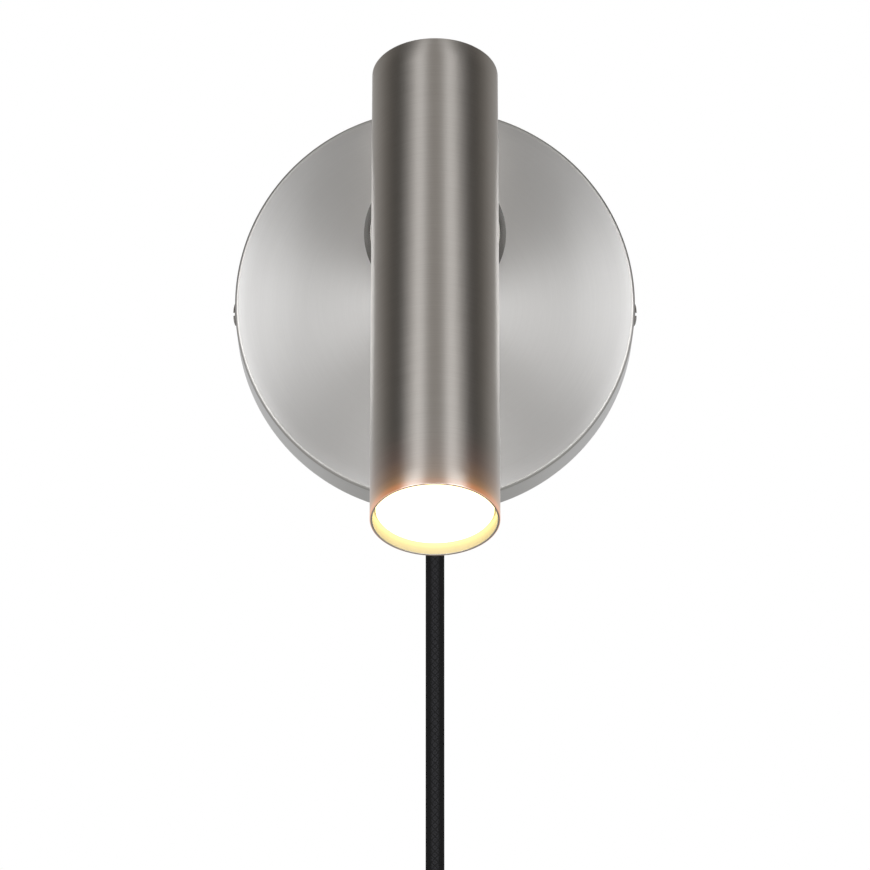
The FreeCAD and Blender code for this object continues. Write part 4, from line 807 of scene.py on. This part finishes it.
SLOT_TURN = math.radians(10)
rim_screws = new_object("rim_screws", points_mesh(
    "rim_screws", [(-CANOPY_R, RIM_SCREW_Y, 0), (CANOPY_R, RIM_SCREW_Y, 0)],
    outward=[Vector((-1, 0, 0)), Vector((1, 0, 0))], slot_turn=[-SLOT_TURN, SLOT_TURN]))
grow(rim_screws, screws, screw_sizes)
smooth(rim_screws.data)
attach(rim_screws, "root")
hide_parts("canopy_screws")

# %% [markdown]
# ### The rosette
# A turned disc covers the swivel where the arm leaves the canopy. Only its edge shows beside the
# tube, and what catches the eye there is its chamfer. A Bevel modifier could round its edges evenly,
# but a turned part has its own small break at each corner, so the outline has them, 0.1 to 0.4 mm.

# %% Rosette
ROSETTE_R, ROSETTE_FACE_R, ROSETTE_T, ROSETTE_EDGE = 0.032, 0.0292, 0.005, 0.0014
ROSETTE_GAP = 0.00035       # the play in which the disc turns clear of the canopy
back = CANOPY_DEPTH + ROSETTE_GAP
front = back + ROSETTE_T
rosette_profile = [
    (STEM_HOLE_R, back), (ROSETTE_R - 3 * TENTH, back), (ROSETTE_R, back + 3 * TENTH),
    (ROSETTE_R, back + ROSETTE_EDGE - 2 * TENTH), (ROSETTE_R - TENTH, back + ROSETTE_EDGE),
    (ROSETTE_FACE_R + 3 * TENTH, front - 4 * TENTH), (ROSETTE_FACE_R, front - TENTH),
    (ROSETTE_FACE_R - 3 * TENTH, front), (0.02, front), (0.012, front), (STEM_HOLE_R, front),
]
rosette = lathe("rosette_disc", rosette_profile, SWIVEL, OUT, steps=192)
rosette.data.materials.append(rosette_nickel)
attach(rosette, "arm")
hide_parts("rosette")

# %% [markdown]
# ### The tube
# The tube is drawn steel with a wall of 1.2 mm, open at the mouth, and brushed and plated outside.
# A cylinder with a Solidify modifier would be quicker, but would leave square edges at the mouth,
# where the eye goes first. The outline rounds them. The back wall has two holes for the screws of
# the hinge and one for the leads. The tube leans 24 degrees forward, and its place is in its mesh.

# %% Tube
TILT = math.radians(24)
HINGE = Vector((0, -0.0665, 0.032))
TUBE_R, TUBE_WALL, TUBE_UP, TUBE_DOWN, TUBE_AXIS = 0.028, 0.0012, 0.051, 0.187, 0.038
TUBE_LIP, TUBE_ROWS = 0.00035, 24
BACK_HOLES = [(-0.012, 0.00206), (0.012, 0.00206), (0.029, 0.004)]      # height and radius
BACK_DRILL_LENGTH = 0.008

to_mouth = Vector((0, -math.sin(TILT), -math.cos(TILT)))
to_front = Vector((0, -math.cos(TILT), math.sin(TILT)))
tube_middle = HINGE + to_front * TUBE_AXIS
mouth = tube_middle + to_mouth * TUBE_DOWN
bore_r, tube_length = TUBE_R - TUBE_WALL, TUBE_UP + TUBE_DOWN
rows = [tube_length * k / TUBE_ROWS for k in range(1, TUBE_ROWS)]
tube_profile = (
    arc((TUBE_R - TUBE_LIP, TUBE_LIP), TUBE_LIP, 270, 360, 3)
    + [(TUBE_R, row) for row in rows]
    + arc((TUBE_R - TUBE_LIP, tube_length - TUBE_LIP), TUBE_LIP, 0, 90, 3)
    + arc((bore_r + TUBE_LIP, tube_length - TUBE_LIP), TUBE_LIP, 90, 180, 3)
    + [(bore_r, row) for row in reversed(rows)]
    + arc((bore_r + TUBE_LIP, TUBE_LIP), TUBE_LIP, 180, 270, 3)
)
tube = lathe("brushed_tube", tube_profile, mouth, -to_mouth, steps=224)
back_wall = tube_middle - to_front * TUBE_R
drilled(tube, [(back_wall - to_mouth * height, to_front, radius, BACK_DRILL_LENGTH)
               for height, radius in BACK_HOLES])

# %% [markdown]
# ### The mouth's painted glow
# A strong lamp sits 5 mm inside the mouth. The warm light on the lacquer just inside and on the
# plate
# just above the lip is painted: a faint emission that falls off with the distance from the lip,
# measured on the UV map, on top of the traced light. A traced light alone leaves the plate cool,
# because much of that warmth is the camera's own glare. The painted glow stays on the tube from
# every side and at every pose.

# %% Painted glow
FRONT_NEAR, FRONT_FAR = 0.009, 0.015        # from the middle line to where the glow is full


def fill_ramp(ramp, stops):
    """Sets a colour ramp's stops from (place, linear colour) pairs."""
    elements = ramp.color_ramp.elements
    while len(elements) < len(stops):
        elements.new(0.5)
    for element, (place, colour) in zip(elements, stops):
        element.position, element.color = place, colour


def painted_glow_near_lip(material, lip_at, glow, softer_front=1.0):
    """A painted glow, an emission that stands for the lamp's light, from (mm away, colour) pairs, on
    both sides of a place on the UV map. Along the middle of the front and the back it is painted
    weaker."""
    tree = material.node_tree
    shader = tree.nodes["Principled BSDF"]
    reach = glow[-1][0]
    place = add(tree, "ShaderNodeUVMap", {"uv_map": UV_MAP}).outputs["UV"]
    split = add(tree, "ShaderNodeSeparateXYZ", inputs={"Vector": place})
    away = add(tree, "ShaderNodeMath", {"operation": "SUBTRACT"}, {0: split.outputs["Y"], 1: lip_at})
    away = add(tree, "ShaderNodeMath", {"operation": "ABSOLUTE"}, {0: away.outputs["Value"]})
    away = add(tree, "ShaderNodeMath", {"operation": "DIVIDE"}, {0: away.outputs["Value"], 1: reach})
    colours = add(tree, "ShaderNodeValToRGB", inputs={"Fac": away.outputs["Value"]})
    fill_ramp(colours, [(distance / reach, linear(colour)) for distance, colour in glow])
    tree.links.new(colours.outputs["Color"], shader.inputs["Emission Color"])
    aside = add(tree, "ShaderNodeTexCoord").outputs["Object"]
    aside = add(tree, "ShaderNodeSeparateXYZ", inputs={"Vector": aside})
    aside = add(tree, "ShaderNodeMath", {"operation": "ABSOLUTE"}, {0: aside.outputs["X"]})
    level = add(tree, "ShaderNodeMapRange", {"interpolation_type": "SMOOTHSTEP"}, {
        "Value": aside.outputs["Value"], "From Min": FRONT_NEAR, "From Max": FRONT_FAR,
        "To Min": softer_front, "To Max": 1.0})
    tree.links.new(level.outputs["Result"], shader.inputs["Emission Strength"])


# Painted glow: warm colours that fade with the distance from the lip, on the plate and on the
# lacquer.
PLATE_PAINTED_GLOW = [(0, "b8703a"), (2, "ab6a36"), (4, "805830"), (8, "5c3f28"), (16, "352019"),
              (26, "160b08"), (32, "000000")]
LINING_PAINTED_GLOW = [(0, "78743a"), (1, "7c783c"), (2.5, "908e46"), (4, "b0ac62"), (5.5, "d4c888"),
               (10, "605a40")]
# The outline starts at the lip, and its last four points round the lip off: the bore ends there.
BORE_ENDS_AT = run_along(tube_profile)[-4] / MM
# The glow is painted on the tube's plate near the lip and on the lacquer at the mouth.
painted_glow_near_lip(tube_nickel, 0.0, PLATE_PAINTED_GLOW, softer_front=0.5)
painted_glow_near_lip(lining_with_painted_glow, BORE_ENDS_AT, LINING_PAINTED_GLOW)
print(f"the bore's wall ends {BORE_ENDS_AT:.1f} mm along the outline")

# %% Tube's finishes
# The lacquer with the painted glow reaches this deep into the mouth.
PAINTED_GLOW_DEPTH = 0.012           # how deep the lit lacquer goes
for material in (tube_nickel, tube_lining, lining_with_painted_glow):
    tube.data.materials.append(material)
for polygon in tube.data.polygons:
    spoke = polygon.center - tube_middle
    down = spoke.dot(to_mouth)
    in_bore = (spoke - to_mouth * down).length < (bore_r + TUBE_R) / 2
    if in_bore and abs(polygon.normal.dot(to_mouth)) < 0.5:
        # Faces near the mouth take the lacquer with the painted glow.
        polygon.material_index = 2 if down > TUBE_DOWN - PAINTED_GLOW_DEPTH else 1
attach(tube, "head")
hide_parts("lamp_tube")
painted_glow_faces = sum(polygon.material_index == 2 for polygon in tube.data.polygons)
print("faces of lacquer with painted glow:", painted_glow_faces)

# %% [markdown]
# ### The vented cap
# The closed end is a pressed cup with ten rounded slots that let the lamp's heat out. Dark strips
# painted on it would do from afar, but hot air needs real holes, and so does the mesh. The cup is
# turned on the lathe, and a tree cuts the slots: one slot is a rounded outline swept through the
# cup, and copies of it stand on a circle, each turned to point away from the middle.

# %% Ring of heat slots
CAP_R, CAP_TOP, CAP_T, CAP_EDGE, CAP_SKIRT = 0.02674, 0.050, 0.0012, 0.0016, 0.007
CAP_RINGS = 8
VENT_WIDTH, VENT_CIRCLE, VENT_REACH = 0.0022, CAP_R * 0.61, CAP_R * 0.38
CUT_REACH = 0.004           # how far the cut goes above and below the cap's top
ALMOST_HALF = 0.499         # at a full half, the slot's two round ends would leave doubled points
vent_sizes = {"Count": 10, "Circle Radius": VENT_CIRCLE, "Slot Length": VENT_REACH + VENT_WIDTH,
              "Slot Width": VENT_WIDTH}
vents, size = node_tree("ring_of_heat_slots", vent_sizes)
outline = add(vents, "GeometryNodeCurvePrimitiveQuadrilateral", {"mode": "RECTANGLE"}, {
    "Width": size["Slot Length"], "Height": size["Slot Width"]})
end_radius = add(vents, "ShaderNodeMath", {"operation": "MULTIPLY"}, {
    0: size["Slot Width"], 1: ALMOST_HALF})
outline = add(vents, "GeometryNodeFilletCurve", {"mode": "POLY"}, {
    "Curve": outline.outputs["Curve"], "Radius": end_radius.outputs["Value"], "Count": 6})
path = add(vents, "GeometryNodeCurvePrimitiveLine", inputs={
    "Start": (0, 0, CAP_TOP - CUT_REACH), "End": (0, 0, CAP_TOP + CUT_REACH)})
slot = add(vents, "GeometryNodeCurveToMesh", inputs={
    "Curve": path.outputs["Curve"], "Profile Curve": outline.outputs["Curve"], "Fill Caps": True})
ring = add(vents, "GeometryNodeMeshCircle", inputs={
    "Vertices": size["Count"], "Radius": size["Circle Radius"]})
away = add(vents, "GeometryNodeInputPosition")
away = add(vents, "FunctionNodeAlignRotationToVector", {"axis": "X"}, {
    "Vector": away.outputs["Position"]})
slots = add(vents, "GeometryNodeInstanceOnPoints", inputs={
    "Points": ring.outputs["Mesh"], "Instance": slot.outputs["Mesh"],
    "Rotation": away.outputs["Rotation"]})
slots = add(vents, "GeometryNodeRealizeInstances", inputs={"Geometry": slots.outputs["Instances"]})
cut = add(vents, "GeometryNodeMeshBoolean", {"operation": "DIFFERENCE", "solver": "MANIFOLD"}, {
    "Mesh 1": size["Geometry"], "Mesh 2": slots.outputs["Geometry"]})
end_tree(vents, cut.outputs["Mesh"], cap_nickel)

# %% Top cap
UP = Vector((0, 0, 1))
corner = (CAP_R - CAP_EDGE, CAP_TOP - CAP_EDGE)
cap_profile = (
    [(CAP_R * k / CAP_RINGS, CAP_TOP) for k in range(CAP_RINGS)]
    + arc(corner, CAP_EDGE, 90, 0, 8)
    + [(CAP_R, CAP_TOP - CAP_SKIRT), (CAP_R - CAP_T, CAP_TOP - CAP_SKIRT)]
    + arc(corner, CAP_EDGE - CAP_T, 0, 90, 3)
    + [(CAP_R * k / CAP_RINGS, CAP_TOP - CAP_T) for k in range(CAP_RINGS - 1, -1, -1)]
)
top_cap = lathe("vented_cap", cap_profile, Vector((0, 0, 0)), UP, steps=160)
grow(top_cap, vents, vent_sizes)
lean = UP.rotation_difference(-to_mouth).to_matrix().to_4x4()
top_cap.data.transform(Matrix.Translation(tube_middle) @ lean)
smooth(top_cap.data)
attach(top_cap, "head")
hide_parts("top_cap")

# %% [markdown]
# ## Smaller metal and moulded parts
# The bracket, the swivel, the hinge, the terminal block and the lampholder keep their shapes from
# the frame. Each gets a finished copy, on the body that it moves with: what is fixed to the wall is
# on "root", what turns with the arm on "arm", and what tilts with the tube on "head".

# %% Finishes by body
FINISHES = {
    "root": {
        "wall_bracket": zinc_plate, "earth_screw": plain_brass,
        "earth_washer": plain_brass, "terminal_block": white_polyamide,
        "terminal_inserts": plain_brass, "terminal_screws": zinc_plate,
        "terminal_fixing_screws": zinc_plate, "stop_stud": zinc_plate,
        "cord_gland": black_abs, "gland_nut": black_abs, "gland_grub_screw": black_abs,
        "supply_leads": lead_silicone,
    },
    "rocker": {"switch_rocker": black_abs},
    "arm": {
        "swivel_stem": zinc_plate, "friction_washer": white_polyamide, "stop_washer": zinc_plate,
        "swivel_nut": zinc_plate, "arm_post": polished_nickel,
    },
    "head": {
        "hinge_clevis": polished_nickel, "clevis_screws": screw_nickel,
        "hinge_screw": screw_nickel, "hinge_washer": screw_nickel, "hinge_nut": screw_nickel,
        "lampholder_bracket": zinc_plate, "lampholder": steatite, "holder_screws": zinc_plate,
        "lamp_body": lamp_shell, "lamp_pins": plain_brass, "lamp_leads": lead_silicone,
        "lead_grommet": black_rubber,
    },
}
for body, finishes in FINISHES.items():
    for node, material in finishes.items():
        finished(node, body, material)
    print(f"finished on {body}: {len(finishes)}")

# %% [markdown]
# ## The lit lamp
# The lamp's front is a disc of frosted glass with a low crown and a light behind it. It could be
# clear glass with a reflector and a source inside, but frosting hides all of that: what is seen is
# an even warm white, far brighter than the room. So the glass itself glows, and it lights the tube
# round it.

# %% Lamp lens
LENS_INSET, LENS_R, LENS_RISE, LENS_T = 0.0052, 0.0254, 0.0024, 0.0016
BACK_RINGS, CROWN_RINGS = 6, 10
# Glass, pressed and etched inside: no highlight and no depth, only light.
lens_glow, _, _ = new_material("frosted_lamp_lens", "fff4e2", 0.0, 0.5, {
    "Emission Color": linear("ffe09c"), "Emission Strength": 4.0})
lens_profile = [(LENS_R * k / BACK_RINGS, LENS_INSET + LENS_T) for k in range(BACK_RINGS + 1)]
lens_profile += [(LENS_R * math.cos(t), LENS_INSET - LENS_RISE * math.sin(t))
                 for t in (math.pi / 2 * k / CROWN_RINGS for k in range(CROWN_RINGS + 1))]
lens = lathe("frosted_lens", lens_profile, mouth, -to_mouth, steps=128)
lens.data.materials.append(lens_glow)
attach(lens, "head")
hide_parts("lamp_lens")

# %% [markdown]
# ## The studio
# The picture has a white ground. Turning the lights up until the wall clips would bleach the metal
# too, so the world is white only where the camera, a mirror or glass looks past everything, and a
# plain grey wherever it lights something.

# %% World
WORLD_LEVEL = 0.5
world = bpy.data.worlds.new("studio")
world.use_nodes = True
tree = world.node_tree
tree.nodes.clear()
seen = add(tree, "ShaderNodeBackground", inputs={"Color": (1, 1, 1, 1), "Strength": 1.0})
lit = add(tree, "ShaderNodeBackground", inputs={"Color": (1, 1, 1, 1), "Strength": WORLD_LEVEL})
path = add(tree, "ShaderNodeLightPath")
looks = add(tree, "ShaderNodeMath", {"operation": "MAXIMUM"}, {
    0: path.outputs["Is Camera Ray"], 1: path.outputs["Is Glossy Ray"]})
looks = add(tree, "ShaderNodeMath", {"operation": "MAXIMUM"}, {
    0: looks.outputs["Value"], 1: path.outputs["Is Transmission Ray"]})
mix = add(tree, "ShaderNodeMixShader", inputs={
    0: looks.outputs["Value"], 1: lit.outputs["Background"], 2: seen.outputs["Background"]})
add(tree, "ShaderNodeOutputWorld", inputs={"Surface": mix.outputs["Shader"]})
bpy.context.scene.world = world
print("light from the world:", WORLD_LEVEL)

# %% [markdown]
# Brushed metal shows what stands round it, so a photographer puts it in a tent of grey cloth with
# pale and dark strips. A dome does that here. Its strips are given by their azimuth from the
# light's front, and differ between the high part, which the leaning tube mirrors, and the low part,
# which the upright canopy mirrors. Only reflections see it: it lights nothing that is matt, hides
# nothing from the camera and casts no shadow.

# %% Cloth of the dome
BANDS_FROM, BANDS_TO = 10.0, 16.0      # the elevations between which low bands become high ones
HIGH_BANDS = [(0, 0.33), (16, 0.34), (26, 0.55), (34, 0.90), (46, 0.98), (54, 0.42), (61, 0.09),
              (70, 0.04), (85, 0.03), (98, 0.07), (112, 0.16), (130, 0.30), (150, 0.36)]
LOW_BANDS = [(0, 0.40), (20, 0.40), (60, 0.44), (85, 0.50), (105, 0.60), (130, 0.65), (150, 0.65)]
WARM_DARK, NEUTRAL_FROM = (1.0, 0.91, 0.80), 0.6


def cloth_grey(level):
    """A grey that turns a little warm where it is dim, as a room's walls are."""
    warmth = max(0.0, 1 - level / NEUTRAL_FROM)
    return (*(level * (1 - warmth * (1 - tint)) for tint in WARM_DARK), 1)


def studio_cloth():
    """Cloth that glows in bands round the azimuth."""
    material = bpy.data.materials.new("grey_studio_cloth")
    material.use_nodes = True
    tree = material.node_tree
    tree.nodes.clear()
    place = add(tree, "ShaderNodeTexCoord").outputs["Object"]
    unit = add(tree, "ShaderNodeVectorMath", {"operation": "NORMALIZE"}, {0: place})
    split = add(tree, "ShaderNodeSeparateXYZ", inputs={"Vector": unit.outputs["Vector"]})
    side = add(tree, "ShaderNodeMath", {"operation": "ABSOLUTE"}, {0: split.outputs["X"]})
    ahead = add(tree, "ShaderNodeMath", {"operation": "MULTIPLY"}, {0: split.outputs["Y"], 1: -1.0})
    azimuth = add(tree, "ShaderNodeMath", {"operation": "ARCTAN2"}, {
        0: side.outputs["Value"], 1: ahead.outputs["Value"]})
    share = add(tree, "ShaderNodeMath", {"operation": "DIVIDE"}, {
        0: azimuth.outputs["Value"], 1: math.pi})
    rise = add(tree, "ShaderNodeMapRange", {"interpolation_type": "SMOOTHSTEP"}, {
        "Value": split.outputs["Z"], "From Min": math.sin(math.radians(BANDS_FROM)),
        "From Max": math.sin(math.radians(BANDS_TO))})
    mix = add(tree, "ShaderNodeMix", {"data_type": "RGBA"}, {"Factor": rise.outputs["Result"]})
    for socket, bands in (("A", LOW_BANDS), ("B", HIGH_BANDS)):
        ramp = add(tree, "ShaderNodeValToRGB", inputs={"Fac": share.outputs["Value"]})
        fill_ramp(ramp, [(azimuth / 180, cloth_grey(level)) for azimuth, level in bands])
        tree.links.new(ramp.outputs["Color"], mix.inputs[socket])
    glow = add(tree, "ShaderNodeEmission", inputs={"Color": mix.outputs["Result"], "Strength": 1.0})
    add(tree, "ShaderNodeOutputMaterial", inputs={"Surface": glow.outputs["Emission"]})
    return material


# %% Studio dome
DOME_RADIUS = 6.0
DOME_LOW, DOME_HIGH, DOME_SIDE = -15, 90, 168
DOME_ROWS, HALF_COLUMNS = 40, 40
NEARLY_UP = 89.9            # the last ring stays a ring, and doesn't close to a point
elevations = [DOME_LOW + (DOME_HIGH - DOME_LOW) * k / DOME_ROWS for k in range(DOME_ROWS)]
around = [math.radians(DOME_SIDE * (k / HALF_COLUMNS - 1)) for k in range(2 * HALF_COLUMNS + 1)]
dome_rings = []
for elevation in elevations + [NEARLY_UP]:
    flat = DOME_RADIUS * math.cos(math.radians(elevation))
    height = DOME_RADIUS * math.sin(math.radians(elevation))
    dome_rings.append([(flat * math.sin(a), -flat * math.cos(a), height) for a in around])
dome = new_object("studio_dome", mesh_from_rings(
    "studio_dome", dome_rings, [0.0] * len(dome_rings), closed=False))
dome.data.materials.append(studio_cloth())
dome.visible_camera = dome.visible_diffuse = dome.visible_shadow = False
print("faces of the dome:", len(dome.data.polygons))


# %% [markdown]
# Two soft lights stand on each side of the camera, as wide as a door, and one lies low in front.
# Their mirror images in the spun canopy are the bright fans on its face, so their azimuths follow
# from where the fans are. One large light would be simpler, but it would leave the face even.

# %% Soft lights
def soft_light(name, azimuth, elevation, distance, width, tall, watts):
    """An area light on the camera's side, turned to the object."""
    data = bpy.data.lights.new(name, "AREA")
    data.shape, data.size, data.size_y = "RECTANGLE", width, tall
    data.energy = watts
    light = bpy.data.objects.new(name, data)
    turn, rise = math.radians(azimuth), math.radians(elevation)
    light.location = distance * Vector((
        math.sin(turn) * math.cos(rise), -math.cos(turn) * math.cos(rise), math.sin(rise)))
    light.rotation_euler = (-light.location).to_track_quat("-Z", "Y").to_euler()
    bpy.context.collection.objects.link(light)


# Azimuth and elevation in degrees, distance, width and height in metres, and power in watts.
for name, side in (("left", -1), ("right", 1)):
    soft_light(name + "_near_light", side * 27, 6, 2.4, 0.75, 1.3, 11)
    soft_light(name + "_far_light", side * 43, 5, 2.4, 0.70, 1.4, 12)
soft_light("low_soft_light", 0, -16, 2.2, 1.2, 0.5, 8)
print("lights:", len(bpy.data.lights))

# %% [markdown]
# The floor is a plain pale sheet, 1.6 m below the light, and only shows in views from above. It is
# darker than it looks, so that it takes a shadow without lighting the metal from below. A glow for
# the camera, metal and glass makes up the difference. It is painted on its top only, so that a view
# from below looks through it.


# %% Floor
def pale_floor_paint(in_view, in_metal):
    """Matt paint that looks pale to the camera, in metal and through glass."""
    material, tree, shader = new_material("pale_floor", "6e6c69", 0.0, 0.9, {
        "Specular IOR Level": 0.0, "Emission Color": linear("fcfbf8")})
    path = add(tree, "ShaderNodeLightPath")
    seen = add(tree, "ShaderNodeMath", {"operation": "MAXIMUM"}, {
        0: path.outputs["Is Camera Ray"], 1: path.outputs["Is Transmission Ray"]})
    seen = add(tree, "ShaderNodeMath", {"operation": "MULTIPLY"}, {
        0: seen.outputs["Value"], 1: in_view})
    glow = add(tree, "ShaderNodeMath", {"operation": "MULTIPLY_ADD"}, {
        0: path.outputs["Is Glossy Ray"], 1: in_metal, 2: seen.outputs["Value"]})
    tree.links.new(glow.outputs["Value"], shader.inputs["Emission Strength"])
    face = add(tree, "ShaderNodeNewGeometry")
    clear = add(tree, "ShaderNodeBsdfTransparent")
    top_only = add(tree, "ShaderNodeMixShader", inputs={
        0: face.outputs["Backfacing"], 1: shader.outputs["BSDF"], 2: clear.outputs["BSDF"]})
    tree.links.new(top_only.outputs["Shader"], tree.nodes["Material Output"].inputs["Surface"])
    return material


FLOOR_Z, FLOOR_HALF = -1.6, 25.0
corners = [(-1, -1), (1, -1), (1, 1), (-1, 1)]
floor_mesh = bpy.data.meshes.new("floor")
floor_mesh.from_pydata(
    [(x * FLOOR_HALF, y * FLOOR_HALF, FLOOR_Z) for x, y in corners], [], [(0, 1, 2, 3)])
floor = new_object("floor", floor_mesh)
floor.data.materials.append(pale_floor_paint(in_view=0.84, in_metal=0.42))
print("floor at", FLOOR_Z, "m")

# %% [markdown]
# ## View settings
# The Standard view shows a colour as it is written.

# %% Finish
bpy.context.scene.view_settings.view_transform = "Standard"
